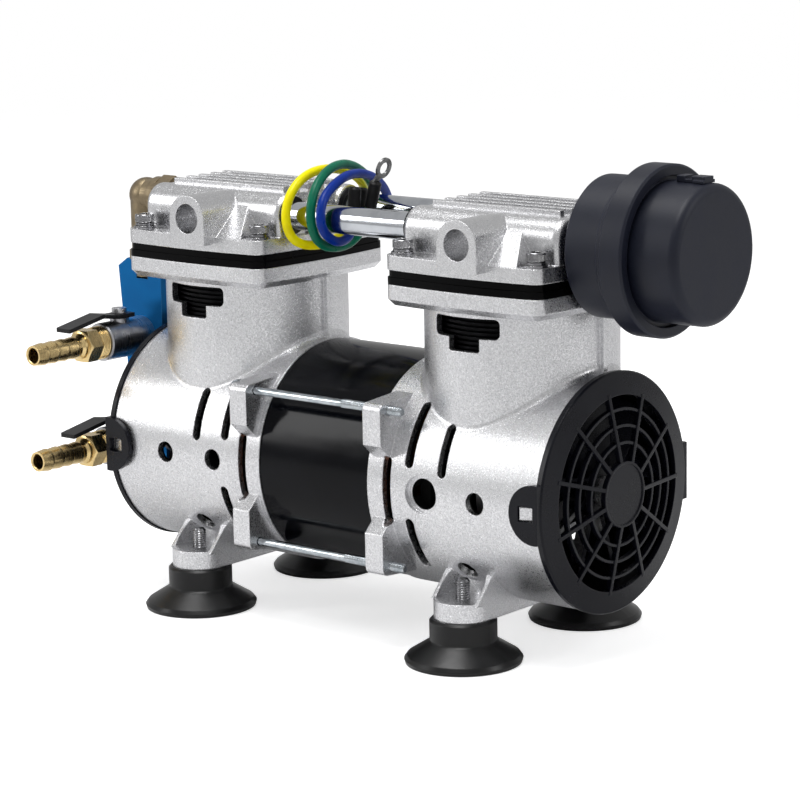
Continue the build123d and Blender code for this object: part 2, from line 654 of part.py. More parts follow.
def head_body():
    """The outer form of a cylinder head about its own axis, before anything is drilled."""
    body = flange_slab(HEAD_Z, HEAD_FLANGE_Z)
    for y_side in (-1, 1):
        barrel = along_x(BARREL_R, -HEAD_END, HEAD_END, y_side * BARREL_Y, TUBE_Z)
        wall = (y_side * BARREL_Y - BARREL_R, y_side * BARREL_Y + BARREL_R)
        barrel += block((-HEAD_END, HEAD_END), wall, (HEAD_Z + 1, TUBE_Z))
        ends = [e for e in barrel.edges() if e.geom_type == GeomType.CIRCLE]
        body += fillet(ends, BLEND_R)
    body += block((-HEAD_END + 3, HEAD_END - 3), (-BARREL_Y, BARREL_Y), (HEAD_Z + 1, DECK_Z))
    for x_side in (-1, 1):
        span = sorted((0, x_side * HEAD_END))
        body += along_x(END_BOSS_R, *span, 0, TUBE_Z - END_BOSS_DROP)
    wedge = port_wedge()
    body += wedge + mirror(wedge, Plane.XZ)
    depth = (-PORT_FACE_Y, -BARREL_Y)
    body += along_y(PORT_BOSS_R, *depth, PORT_X, PORT_Z)
    body += block((PORT_X - PORT_BOSS_R, PORT_X + PORT_BOSS_R), depth, (PORT_BOSS_Z0, PORT_Z))
    for i in range(FIN_COUNT):
        y = -FIN_HALF_Y + i * FIN_PITCH
        body += block((-FIN_HALF_X, FIN_HALF_X), (y - FIN_T / 2, y + FIN_T / 2), (DECK_Z - 2, FIN_Z))
    return body


def cylinder_head(side):
    """A finned head with its chambers, tube seats, end port, front port and bolt holes."""
    head = head_body()
    wall = side * PARTITION_Y
    for low, high in ((-CHAMBER_Y, wall - PARTITION_T / 2), (wall + PARTITION_T / 2, CHAMBER_Y)):
        head -= block((-CHAMBER_X, CHAMBER_X), (low, high), (HEAD_Z - 1, CHAMBER_TOP))
    inner = -side
    for y_side in (-1, 1):
        seat = sorted((inner * (CHAMBER_X - 1), inner * (HEAD_END + 5)))
        head -= along_x(TUBE_R + RUN_FIT, *seat, y_side * BARREL_Y, TUBE_Z)
        ring = sorted((inner * (HEAD_END - RING_T), inner * (HEAD_END + 5)))
        head -= along_x(RING_R, *ring, y_side * BARREL_Y, TUBE_Z)
    port_z = FILTER_Z if side > 0 else OUT_Z
    port = sorted((side * (CHAMBER_X - 1), side * (HEAD_END + 5)))
    head -= along_x(NIPPLE_R + RUN_FIT, *port, 0, port_z)
    head -= along_y(PORT_HOLE_R, -PORT_FACE_Y - 1, -PORT_FACE_Y + PORT_DEPTH, PORT_X, PORT_Z)
    for x, y in bolt_places():
        head -= along_z(BOLT_R + CLEAR, HEAD_Z - 1, HEAD_FLANGE_Z + 1, x, y)
        head -= along_z(WASHER_R + 0.4, HEAD_FLANGE_Z, FIN_Z, x, y)
    return Pos(side * CYL_X, 0, 0) * head


def head_bolts():
    """Eight socket-head bolts."""
    bolts = []
    seat = HEAD_FLANGE_Z + WASHER_T
    for side in SIDES.values():
        for x, y in bolt_places():
            bolt = along_z(BOLT_R, FLANGE_Z1 - BOLT_GRIP, seat)
            bolt += along_z(BOLT_HEAD_R, seat, seat + BOLT_HEAD_H)
            socket = extrude(RegularPolygon(SOCKET_KEY_R, 6), amount=BOLT_HEAD_H)
            socket = Pos(0, 0, seat + BOLT_HEAD_H * 0.6) * socket
            bolts.append(Pos(side * CYL_X + x, y, 0) * (bolt - socket))
    return Compound(bolts)


def head_washers():
    """A washer under each head bolt."""
    washers = []
    for side in SIDES.values():
        for x, y in bolt_places():
            ring = along_z(WASHER_R, HEAD_FLANGE_Z, HEAD_FLANGE_Z + WASHER_T)
            ring -= along_z(BOLT_R + CLEAR, HEAD_FLANGE_Z - 1, HEAD_FLANGE_Z + WASHER_T + 1)
            washers.append(Pos(side * CYL_X + x, y, 0) * ring)
    return Compound(washers)


def transfer_tube(y_side):
    """A plated air tube from one head to the other."""
    end = CYL_X - HEAD_END + TUBE_SEAT
    return along_x(TUBE_R, -end, end, y_side * BARREL_Y, TUBE_Z) - along_x(
        TUBE_R - TUBE_WALL, -end - 1, end + 1, y_side * BARREL_Y, TUBE_Z)


def tube_rings():
    """A rubber ring round each tube end, in the mouth of its seat."""
    rings = []
    for side in SIDES.values():
        for y_side in (-1, 1):
            mouth = side * (CYL_X - HEAD_END)
            span = sorted((mouth, mouth + side * RING_T))
            ring = along_x(RING_R - CLEAR, *span, y_side * BARREL_Y, TUBE_Z)
            rings.append(ring - along_x(TUBE_R, span[0] - 1, span[1] + 1, y_side * BARREL_Y, TUBE_Z))
    return Compound(rings)


def stator_shell():
    """The black tube between the two castings."""
    bore = along_x(STATOR_R - STATOR_WALL, -CASE_INNER_X - 1, CASE_INNER_X + 1)
    return along_x(STATOR_R, -CASE_INNER_X, CASE_INNER_X) - bore


def winding_slot(i, grow):
    """One slot of the stator core, or the bar that lies in it."""
    low, high = WINDING_IN_R + 1 - grow, WINDING_OUT_R - 2 + grow
    width = 4.0 + 2 * grow
    length = CORE_HALF + 2
    bar = block((-length, length), (-width / 2, width / 2), (low, high))
    return Pos(0, 0, AXIS_Z) * Rot(360 / SLOT_COUNT * i, 0, 0) * bar


def stator_core():
    """The laminated core with its winding slots."""
    core = along_x(STATOR_R - STATOR_WALL, -CORE_HALF, CORE_HALF)
    core -= along_x(CORE_BORE_R, -CORE_HALF - 1, CORE_HALF + 1)
    return core - [winding_slot(i, WINDING_GAP) for i in range(SLOT_COUNT)]


def stator_windings():
    """Copper windings: bars in the slots joined by an end turn ring at each end."""
    bore = along_x(WINDING_IN_R, -WINDING_X - 1, WINDING_X + 1)
    rings = []
    for side in SIDES.values():
        span = sorted((side * (CORE_HALF + WINDING_GAP), side * WINDING_X))
        rings.append(along_x(WINDING_OUT_R, *span) - bore)
    return Part() + rings + [winding_slot(i, 0) for i in range(SLOT_COUNT)]


def tie_rods():
    """Four long screws that clamp the motor between the castings."""
    rods = []
    start, end = -LUG_X - LUG_T, LUG_X + LUG_T + ROD_TAIL
    for y_side in (-1, 1):
        for z_side in (-1, 1):
            y, z = y_side * ROD_Y, AXIS_Z + z_side * ROD_DZ
            rod = along_x(ROD_R, start, end - 1, y, z)
            rod += along_x(ROD_THREAD_R, end - ROD_THREAD_L, end, y, z)
            head = along_x(ROD_HEAD_R, start - ROD_HEAD_H, start, y, z)
            head -= block((start - ROD_HEAD_H - 1, start - 1.6), (y - 2.2, y + 2.2), (z - 0.45, z + 0.45))
            head -= block((start - ROD_HEAD_H - 1, start - 1.6), (y - 0.45, y + 0.45), (z - 2.2, z + 2.2))
            rods.append(rod + head)
    return Compound(rods)


def grille_spokes():
    """The spokes of a fan cover, from the hub disc out to the rim."""
    inner, outer = HUB_R - 1, GRILLE_R + 1.5
    points = [
        (inner, HUB_X - SPOKE_T), (inner, HUB_X), (outer, GRILLE_X), (outer, GRILLE_X - SPOKE_T),
    ]
    outline = Polyline(*[(x, radius, 0) for radius, x in points], close=True)
    spoke = extrude(make_face(outline), amount=SPOKE_W / 2, both=True)
    return [Pos(0, 0, AXIS_Z) * Rot(360 / SPOKES * i, 0, 0) * spoke for i in range(SPOKES)]


def grille_rings():
    """The concentric rings of a fan cover, a little behind the spokes' faces."""
    rings = []
    for radius in GRILLE_RINGS:
        share = (radius - HUB_R) / (GRILLE_R - HUB_R)
        face = HUB_X + (GRILLE_X - HUB_X) * share - 0.4
        low, high = radius - RING_W / 2, radius + RING_W / 2
        rings.append(turned([(face - SPOKE_T, low), (face - SPOKE_T, high), (face, high), (face, low)]))
    return rings


def cover_clip(y_side):
    """The tab of a fan cover that hooks over the casting's wedge."""
    x1 = COVER_RIM_X - 0.6
    x0 = x1 - CLIP_REACH
    outline = make_face([
        ThreePointArc((x1, -CLIP_HALF), (x0, 0), (x1, CLIP_HALF)),
        Line((x1, CLIP_HALF), (x1, -CLIP_HALF)),
    ])
    plate = Pos(0, CLIP_Y + CLIP_T, AXIS_Z) * Rot(90, 0, 0) * extrude(outline, amount=CLIP_T)
    low, high, half = CLIP_WINDOW
    plate -= block((low, high), (CLIP_Y - 1, CLIP_Y + CLIP_T + 1), (AXIS_Z - half, AXIS_Z + half))
    tall = (AXIS_Z - CLIP_HALF, AXIS_Z + CLIP_HALF)
    plate += block((CASE_OUTER_X + 0.2, x1), (CASE_R - 4, CLIP_Y + 1), tall)
    return plate if y_side > 0 else mirror(plate, Plane.XZ)


def fan_cover(side):
    """The domed grille that closes a casting's outer end."""
    wall = COVER_WALL
    points = [
        (CASE_OUTER_X, CASE_R - 5), (CASE_OUTER_X, COVER_R - 0.2), (COVER_RIM_X - 0.6, COVER_R),
        (COVER_RIM_X, COVER_R - 0.6), (GRILLE_X, GRILLE_R), (GRILLE_X - wall, GRILLE_R),
        (COVER_RIM_X - wall, CASE_R - 5),
    ]
    cover = turned(points)
    lip = along_x(COVER_LIP_R, COVER_LIP_X, CASE_OUTER_X + 1)
    cover += lip - along_x(COVER_LIP_R - COVER_LIP_T, COVER_LIP_X - 1, CASE_OUTER_X + 2)
    hub = along_x(HUB_R, HUB_X - wall, HUB_X) - along_x(HUB_R - 1, HUB_X - 0.5, HUB_X + 1)
    cover += [hub] + grille_spokes() + grille_rings()
    for y_side in (-1, 1):
        cover += cover_clip(y_side)
    return to_side(cover, side)


def suction_feet():
    """Four rubber suction feet, hollow underneath."""
    points = [
        (0, 4.6), (9, 4.6), (CUP_R - 2.2, 0), (CUP_R - 0.5, 0), (CUP_R, CUP_LIP_Z), (CUP_R - 1.2, 3.2),
        (COLLAR_R + 0.6, CUP_TOP_Z), (COLLAR_R, CUP_TOP_Z + 0.6), (COLLAR_R, COLLAR_TOP_Z - 1.0),
        (COLLAR_R - 1.0, COLLAR_TOP_Z), (STUD_R, COLLAR_TOP_Z),
        (STUD_R, CUP_TOP_Z - 1), (0, CUP_TOP_Z - 1),
    ]
    cup = turned_up(points)
    return Compound([Pos(x * FOOT_X, y * FOOT_Y, 0) * cup for x in (-1, 1) for y in (-1, 1)])


def foot_studs():
    """The threaded stud of each foot."""
    stud = along_z(STUD_R, CUP_TOP_Z - 1, STUD_TOP_Z)
    stud = chamfer(stud.faces().sort_by(Axis.Z)[-1].edges(), 0.6)
    return Compound([Pos(x * FOOT_X, y * FOOT_Y, 0) * stud for x in (-1, 1) for y in (-1, 1)])


def bearing_rings(low, high):
    """A ring of each shaft bearing, between two radii."""
    rings = []
    for side in SIDES.values():
        span = sorted((side * BEARING_X0, side * (BEARING_X0 + BEARING_W)))
        ring = along_x(high, *span) - along_x(low, span[0] - 1, span[1] + 1)
        rings.append(ring)
    return rings


def race_groove(grow):
    """The groove that the balls run in, for both bearings."""
    radius = (RACE_IN_R + RACE_OUT_R) / 2
    ball_r = ball_radius() + grow
    middle = BEARING_X0 + BEARING_W / 2
    ring = Pos(0, 0, AXIS_Z) * Rot(0, 90, 0) * Torus(radius, ball_r)
    return [Pos(side * middle, 0, 0) * ring for side in SIDES.values()]


def ball_radius():
    """The radius of a bearing ball, which sinks a little into both grooves."""
    return (RACE_OUT_R - RACE_IN_R) / 2 + 0.6


def grooved_races(inner, outer, clearance):
    """The rings between two radii on both sides, with their ball grooves."""
    return Compound([ring - race_groove(clearance) for ring in bearing_rings(inner, outer)])


def bearing_balls():
    """The balls of both shaft bearings."""
    balls = []
    radius = (RACE_IN_R + RACE_OUT_R) / 2
    for side in SIDES.values():
        for i in range(BALL_COUNT):
            turn = 2 * math.pi * i / BALL_COUNT
            up = AXIS_Z + radius * math.sin(turn)
            place = Pos(side * (BEARING_X0 + BEARING_W / 2), radius * math.cos(turn), up)
            balls.append(place * Sphere(ball_radius()))
    return Compound(balls)


def motor_shaft():
    """The shaft that runs through both castings."""
    return along_x(SHAFT_R, -SHAFT_HALF, SHAFT_HALF)


def rotor():
    """The rotor core with its cast end rings."""
    core = along_x(ROTOR_R, -CORE_HALF, CORE_HALF) + along_x(ROTOR_R - 2, -ROTOR_RING_X, ROTOR_RING_X)
    core -= along_x(ROTOR_R - 9, -ROTOR_RING_X - 1, -CORE_HALF)
    core -= along_x(ROTOR_R - 9, CORE_HALF, ROTOR_RING_X + 1)
    return core - along_x(SHAFT_R, -ROTOR_RING_X - 1, ROTOR_RING_X + 1)


def crank_lift(side):
    """How far the eccentric lies above the motor axis at rest: left at the top, right at the bottom."""
    return -side * THROW


def eccentric(side):
    """An eccentric with its collar and counterweight, on the shaft."""
    x, lift = side * CYL_X, crank_lift(side)
    disc = along_x(ECC_R, x - ECC_W / 2, x + ECC_W / 2, 0, AXIS_Z + lift)
    collar = sorted((side * (BEARING_X0 + BEARING_W + 0.5), x - side * ECC_W / 2))
    disc += along_x(ECC_COLLAR_R, *collar)
    span = sorted((x + side * ECC_W / 2, x + side * (ECC_W / 2 + COUNTER_GAP + COUNTER_W)))
    disc += along_x(ECC_COLLAR_R, *span)
    near = ECC_W / 2 + COUNTER_GAP
    weight_span = sorted((x + side * near, x + side * (near + COUNTER_W)))
    weight = along_x(COUNTER_R, *weight_span)
    away = sorted((AXIS_Z, AXIS_Z - math.copysign(COUNTER_R + 1, lift)))
    weight = weight & block(weight_span, (-COUNTER_R, COUNTER_R), away)
    return disc + weight - along_x(SHAFT_R, x - 40, x + 40)


def rod_bearing(side):
    """The needle bearing ring between eccentric and rod."""
    x, z = side * CYL_X, AXIS_Z + crank_lift(side)
    ring = along_x(ROD_BEARING_R, x - ROD_BEARING_W / 2, x + ROD_BEARING_W / 2, 0, z)
    return ring - along_x(ECC_R + RUN_FIT, x - ROD_BEARING_W, x + ROD_BEARING_W, 0, z)


def connecting_rod(side):
    """The rod with its big end and the piston disc in one piece."""
    x, z = side * CYL_X, AXIS_Z + crank_lift(side)
    top = z + ROD_LENGTH - RETAINER_T - CUP_SEAL_T
    half = ROD_BEARING_W / 2
    rod = along_x(BIG_END_R, x - half, x + half, 0, z)
    rod += block((x - SHANK_T / 2, x + SHANK_T / 2), (-SHANK_W / 2, SHANK_W / 2), (z, top - 1))
    rod += along_z(PISTON_R, top - PISTON_T, top, x)
    return rod - along_x(ROD_BEARING_R, x - half - 1, x + half + 1, 0, z)


def piston_cup(side):
    """The flexible cup seal on the piston disc."""
    z = AXIS_Z + crank_lift(side) + ROD_LENGTH
    base = z - RETAINER_T - CUP_SEAL_T
    points = [
        (0, base), (CUP_SEAL_R - 0.8, base), (CUP_SEAL_R, base + 0.8), (CUP_SEAL_R, base + CUP_LIP_H),
        (CUP_SEAL_R - CUP_LIP_T, base + CUP_LIP_H), (CUP_SEAL_R - CUP_LIP_T - 0.6, base + CUP_SEAL_T),
        (0, base + CUP_SEAL_T),
    ]
    return turned_up(points, side * CYL_X)


def cup_retainer(side):
    """The disc and screw head that clamp the cup."""
    z = AXIS_Z + crank_lift(side) + ROD_LENGTH
    disc = along_z(RETAINER_R, z - RETAINER_T, z, side * CYL_X)
    socket = Pos(side * CYL_X, 0, z - 1) * extrude(RegularPolygon(3, 6), amount=2)
    return disc - socket


def cooling_fans():
    """The two fans, one on each shaft end."""
    hub = along_x(FAN_HUB_R, FAN_X, FAN_X + FAN_W)
    middle = FAN_X + FAN_W / 2
    blade = Pos(0, 0, (FAN_HUB_R + FAN_R) / 2) * Rot(0, 0, FAN_PITCH) * Box(
        FAN_CHORD, FAN_BLADE_T, FAN_R - FAN_HUB_R + 3)
    blades = [Pos(middle, 0, AXIS_Z) * Rot(360 / FAN_BLADES * i, 0, 0) * blade for i in range(FAN_BLADES)]
    fan = hub + blades - along_x(SHAFT_R, FAN_X - 10, FAN_X + FAN_W + 10)
    fan = fan & along_x(FAN_R, FAN_X - 3, FAN_X + FAN_W + 3)
    return Compound([to_side(fan, side) for side in SIDES.values()])


def intake_nipple():
    """The threaded pipe that carries the filter on the right head."""
    span = (HEAD_END_X - NIPPLE_SEAT, FILTER_X0 + NIPPLE_SEAT)
    bore = along_x(NIPPLE_BORE_R, span[0] - 1, span[1] + 1, 0, FILTER_Z)
    return along_x(NIPPLE_R, *span, 0, FILTER_Z) - bore


def filter_base():
    """The inner half of the filter housing, with its wide ring."""
    w = FILTER_WALL
    points = [
        (FILTER_X0, NIPPLE_R + RUN_FIT), (FILTER_X0, FILTER_BASE_R - 1.2),
        (FILTER_X0 + 1.2, FILTER_BASE_R), (FILTER_STEP_X, FILTER_BASE_R),
        (FILTER_STEP_X + 0.6, FILTER_STEP_R), (FILTER_RING_X0, FILTER_STEP_R),
        (FILTER_RING_X0, FILTER_RING_R - 0.8), (FILTER_RING_X0 + 0.8, FILTER_RING_R),
        (FILTER_RING_X1 - 0.8, FILTER_RING_R), (FILTER_RING_X1, FILTER_RING_R - 0.8),
        (FILTER_RING_X1, FILTER_CAP_R + 2.0), (FILTER_RING_X0 + w, FILTER_CAP_R + 2.0),
        (FILTER_RING_X0 + w, FILTER_BASE_R - w), (FILTER_X0 + w, FILTER_BASE_R - w),
        (FILTER_X0 + w, NIPPLE_R + 3), (FILTER_X0 + NIPPLE_SEAT, NIPPLE_R + 3),
        (FILTER_X0 + NIPPLE_SEAT, NIPPLE_R + RUN_FIT),
    ]
    return turned(points, 0, FILTER_Z)


def filter_cap():
    """The outer half of the filter housing, a deep round cap."""
    w, r = FILTER_WALL, FILTER_CAP_R
    start = FILTER_RING_X0 + w + 1
    cap = along_x(r, start, FILTER_X1, 0, FILTER_Z)
    cap = fillet(cap.faces().sort_by(Axis.X)[-1].edges(), FILTER_ROUND)
    cap -= along_x(r - w, start - 1, FILTER_X1 - w, 0, FILTER_Z)
    step = along_x(r + CAP_STEP, start, FILTER_RING_X1 - 2, 0, FILTER_Z)
    return cap + (step - along_x(r - 1, start - 1, FILTER_X1, 0, FILTER_Z))


def filter_element():
    """The foam ring inside the filter."""
    span = (FILTER_X0 + FILTER_WALL, FILTER_X1 - FILTER_WALL)
    bore = along_x(ELEMENT_IN_R, span[0] - 1, span[1] + 1, 0, FILTER_Z)
    return along_x(ELEMENT_OUT_R, *span, 0, FILTER_Z) - bore


def filter_catch():
    """The small latch on top of the cap."""
    x0, x1, half, high = CATCH
    low = FILTER_Z + FILTER_CAP_R
    base_long, base_wide, base_high = CATCH_BASE
    slot_from, slot_to, slot_low = CATCH_SLOT
    broad = (-half - base_wide, half + base_wide)
    body = block((x0, x1), (-half, half), (low, low + high))
    body += block((x1 - base_long, x1), broad, (low, low + base_high))
    return body - block((x0 + slot_from, x0 + slot_to), broad, (low + slot_low, low + high + 1))


def outlet_nipple():
    """The hexagon nipple between the left head and the elbow."""
    x0, x1 = OUT_HEX_X
    outline = RegularPolygon(OUT_HEX_AF / 2, 6, major_radius=False)
    hexagon = Pos(x0, 0, OUT_Z) * Rot(0, 90, 0) * extrude(outline, amount=x1 - x0)
    start, end = x0 - NIPPLE_SEAT, -HEAD_END_X + NIPPLE_SEAT
    nipple = hexagon + along_x(NIPPLE_R, start, end, 0, OUT_Z)
    return nipple - along_x(NIPPLE_BORE_R, start - 1, end + 1, 0, OUT_Z)


def outlet_elbow():
    """The cast elbow down to the manifold."""
    start, bottom = OUT_HEX_X[0], BLOCK_Z[1]
    elbow = along_x(ELBOW_R, ELBOW_X, start, 0, OUT_Z) + along_z(ELBOW_R, bottom, OUT_Z, ELBOW_X)
    elbow += Pos(ELBOW_X, 0, OUT_Z) * Sphere(ELBOW_R + 0.4)
    elbow += along_x(ELBOW_BAND_R, start - ELBOW_BAND_W, start, 0, OUT_Z)
    elbow += along_z(ELBOW_BAND_R, bottom, bottom + ELBOW_BAND_W, ELBOW_X)
    elbow += along_z(SOCKET_R - CLEAR, bottom - SOCKET_DEPTH + 1, bottom + 1, ELBOW_X)
    elbow -= along_x(NIPPLE_R + RUN_FIT, start - NIPPLE_SEAT - 0.5, start + 1, 0, OUT_Z)
    elbow -= along_x(BLOCK_BORE_R, ELBOW_X, start, 0, OUT_Z)
    return elbow - along_z(BLOCK_BORE_R, bottom - SOCKET_DEPTH, OUT_Z, ELBOW_X)


def manifold_block():
    """The blue block that splits the air to the two valves."""
    x0, x1 = BLOCK_X
    z0, z1 = BLOCK_Z
    dx, dz = BLOCK_CHAMFER
    waist_x, waist_z = BLOCK_WAIST
    points = [(waist_x, z0), (waist_x, waist_z), (x0, z1 - dz), (x0 + dx, z1), (x1, z1), (x1, z0)]
    body = profile_y(points, *BLOCK_Y)
    body -= along_z(SOCKET_R, z1 - SOCKET_DEPTH, z1 + 1, ELBOW_X)
    body -= along_z(BLOCK_BORE_R, VALVE_Z["lower"], z1, ELBOW_X)
    for z in VALVE_Z.values():
        body -= along_y(SOCKET_R, BLOCK_Y[0] - 1, BLOCK_Y[0] + SOCKET_DEPTH, VALVE_X, z)
    return body


def valve_body(name):
    """A small ball valve body with a rear thread, a stem boss and a seat for the ball."""
    z = VALVE_Z[name]
    face = BLOCK_Y[0]
    body = along_y(VALVE_R, VALVE_Y, face, VALVE_X, z)
    body = chamfer(body.faces().sort_by(Axis.Y)[0].edges(), 0.6)
    body += along_y(SOCKET_R - CLEAR, face - 1, face + SOCKET_DEPTH - 1, VALVE_X, z)
    body += along_z(BOSS_R, z, z + BOSS_TOP, VALVE_X, BALL_Y)
    body -= along_y(VALVE_BORE_R, VALVE_Y - 1, face + SOCKET_DEPTH, VALVE_X, z)
    body -= along_y(BARB_THREAD_R + RUN_FIT, VALVE_Y - 1, VALVE_Y + BARB_SEAT, VALVE_X, z)
    body -= Pos(VALVE_X, BALL_Y, z) * Sphere(BALL_R + RUN_FIT)
    return body - along_z(STEM_R + RUN_FIT, z, z + BOSS_TOP + 1, VALVE_X, BALL_Y)


def valve_ball(name):
    """The ball with its stem, which a lever turns."""
    z = VALVE_Z[name]
    ball = Pos(VALVE_X, BALL_Y, z) * Sphere(BALL_R)
    top = z + BOSS_TOP + LEVER_T + 0.4
    ball += along_z(STEM_R, z, top, VALVE_X, BALL_Y)
    ball += along_z(STEM_R + 1.4, top, top + 2.2, VALVE_X, BALL_Y)
    return ball - along_y(VALVE_BORE_R, BALL_Y - BALL_R - 1, BALL_Y + BALL_R + 1, VALVE_X, z)


def valve_lever(name):
    """The flat lever, bent up over the hexagon of the hose barb."""
    z = VALVE_Z[name]
    seat = BOSS_TOP + 0.2
    heel = BALL_Y + BOSS_R + 1
    (peak_y, peak_z), (tip_y, tip_z) = LEVER_PEAK, LEVER_TIP
    top = [(heel, seat + LEVER_T), (BALL_Y - BOSS_R, seat + LEVER_T), (peak_y, peak_z), (tip_y, tip_z)]
    under = [(y, level - LEVER_T) for y, level in reversed(top)]
    outline = [(y, z + level) for y, level in top + under]
    lever = profile_x(outline, VALVE_X - LEVER_W / 2, VALVE_X + LEVER_W / 2)
    lever = fillet(lever.faces().sort_by(Axis.Y)[0].edges().filter_by(Axis.Z), 0.6)
    return lever - along_z(STEM_R, z, z + 30, VALVE_X, BALL_Y)


def hose_barb(name):
    """A turned hose barb with its hexagon and thread."""
    z = VALVE_Z[name]
    pitch = (BARB_ROOT_Y - BARB_TIP_Y) / BARBS
    points = [(BARB_BORE_R, VALVE_Y + BARB_SEAT), (BARB_THREAD_R, VALVE_Y + BARB_SEAT)]
    points += [(BARB_THREAD_R, VALVE_Y), (BARB_COLLAR_R, VALVE_Y)]
    points += [(BARB_COLLAR_R, BARB_COLLAR_Y), (BARB_HEX_AF / 2, BARB_COLLAR_Y)]
    points += [(BARB_HEX_AF / 2, BARB_HEX_Y), (BARB_ROOT_R, BARB_ROOT_Y)]
    for i in range(BARBS):
        start = BARB_ROOT_Y - i * pitch
        points += [(BARB_CREST_R, start - 0.2), (BARB_CREST_R, start - BARB_LAND)]
        points += [(BARB_ROOT_R, start - pitch)]
    points += [(BARB_BORE_R, BARB_TIP_Y)]
    outline = Polyline(*[(radius, y) for radius, y in points], close=True)
    barb = revolve(make_face(outline), Axis.Y)
    six = RegularPolygon(BARB_HEX_AF / 2, 6, major_radius=False)
    hexagon = extrude(six, amount=BARB_COLLAR_Y - BARB_HEX_Y)
    hexagon = Pos(0, BARB_COLLAR_Y, 0) * Rot(90, 0, 0) * Rot(0, 0, 0) * hexagon
    hexagon -= along_y(BARB_BORE_R, BARB_HEX_Y - 1, BARB_COLLAR_Y + 1)
    return Pos(VALVE_X, 0, z) * (barb + hexagon)


def route_radii(points):
    """The arc radius at each inner corner of a route, 0.45 of the shorter run over the half turn."""
    radii = []
    for before, here, after in zip(points, points[1:], points[2:]):
        run_in, run_out = Vector(*here) - Vector(*before), Vector(*after) - Vector(*here)
        half_turn = math.radians(run_in.get_angle(run_out)) / 2
        radii.append(0.45 * min(run_in.length, run_out.length) / math.tan(half_turn))
    return radii


def lead_points(name):
    """A lead's route: its first points follow the grommet, the others follow the transfer tubes."""
    low, high = ROUTES[name]
    y0 = CASE_R + GROMMET_PROUD
    points = [(x - BIG_HOLE_X, y0 + y, AXIS_Z + z) for x, y, z in low]
    return points + [(x, y, TUBE_Z + z) for x, y, z in high]


def lead_path(name):
    """The centre line of a lead: straight runs joined by tangent arcs."""
    points = lead_points(name)
    return FilletPolyline(*points, radius=route_radii(points))


def lead(name):
    """One lead wire from the grommet to its sleeved end."""
    path = lead_path(name)
    section = Plane(origin=path @ 0, z_dir=path % 0) * Circle(WIRE_R)
    return sweep(section, path=path)


def lead_end(name):
    """The frame at a lead's free end, with Z along the wire."""
    path = lead_path(name)
    return Plane(origin=path @ 1, z_dir=path % 1)


def lead_sleeves():
    """The shrunk black sleeve over each lead's free end."""
    sleeves = []
    for name in LEADS:
        length = SHRINK_BACK + SHRINK_TIP
        sleeve = Pos(0, 0, length / 2 - SHRINK_BACK) * Cylinder(SHRINK_R, length)
        sleeve = chamfer(sleeve.faces().sort_by(Axis.Z)[-1].edges(), 0.8)
        sleeves.append(lead_end(name) * sleeve - lead(name))
    return Compound(sleeves)


def ring_terminal():
    """The crimped ring terminal on the earth lead, bent over to one side."""
    middle = TERMINAL_NECK + EYE_OUT_R - 1
    neck = Pos(0, 0, 0) * Box(EYE_T, 3.4, 2 * TERMINAL_NECK)
    eye = Pos(0, 0, middle) * Rot(0, 90, 0) * Cylinder(EYE_OUT_R, EYE_T)
    hole = Pos(0, 0, middle) * Rot(0, 90, 0) * Cylinder(EYE_R, 4 * EYE_T)
    bent = Pos(0, 0, SHRINK_TIP) * Rot(-EYE_LEAN, 0, 0) * (neck + eye - hole)
    below = Pos(0, 0, -SHRINK_BACK / 2) * Cylinder(2 * SHRINK_R, SHRINK_BACK + 2 * SHRINK_TIP)
    return lead_end(EYE_LEAD) * (bent - below)


def build_nodes():
    """Every named piece of the pump."""
    right_case = crankcase()
    nodes = {
        "right_crankcase": right_case,
        "left_crankcase": to_side(right_case, -1),
        "head_seals": Compound([head_seal(side) for side in SIDES.values()]),
        "valve_plates": Compound([valve_plate(side) for side in SIDES.values()]),
        "reed_valves": reed_valves(),
        "head_bolts": head_bolts(),
        "head_washers": head_washers(),
        "front_transfer_tube": transfer_tube(-1),
        "rear_transfer_tube": transfer_tube(1),
        "tube_rings": tube_rings(),
        "stator_shell": stator_shell(),
        "stator_core": stator_core(),
        "stator_windings": stator_windings(),
        "tie_rods": tie_rods(),
        "suction_feet": suction_feet(),
        "foot_studs": foot_studs(),
        "bearing_outer_races": grooved_races(RACE_OUT_R, BEARING_R, RUN_FIT),
        "bearing_inner_races": grooved_races(SHAFT_R, RACE_IN_R, 0),
        "bearing_balls": bearing_balls(),
        "motor_shaft": motor_shaft(),
        "rotor": rotor(),
        "cooling_fans": cooling_fans(),
        "eccentrics": Compound([eccentric(side) for side in SIDES.values()]),
        "intake_nipple": intake_nipple(),
        "filter_base": filter_base(),
        "filter_cap": filter_cap(),
        "filter_element": filter_element(),
        "filter_catch": filter_catch(),
        "outlet_nipple": outlet_nipple(),
        "outlet_elbow": outlet_elbow(),
        "manifold_block": manifold_block(),
        "lead_grommet": grommet(),
        "lead_sleeves": lead_sleeves(),
        "ring_terminal": ring_terminal(),
    }
    for word, side in SIDES.items():
        nodes[word + "_cylinder_sleeve"] = cylinder_sleeve(side)
        nodes[word + "_head"] = cylinder_head(side)
        nodes[word + "_fan_cover"] = fan_cover(side)
        nodes[word + "_rod_bearing"] = rod_bearing(side)
        nodes[word + "_connecting_rod"] = connecting_rod(side)
        nodes[word + "_piston_cup"] = piston_cup(side)
        nodes[word + "_cup_retainer"] = cup_retainer(side)
    for name in VALVE_Z:
        nodes[name + "_valve_body"] = valve_body(name)
        nodes[name + "_valve_ball"] = valve_ball(name)
        nodes[name + "_valve_lever"] = valve_lever(name)
        nodes[name + "_hose_barb"] = hose_barb(name)
    for name in LEADS:
        nodes[name + "_lead"] = lead(name)
    return nodes


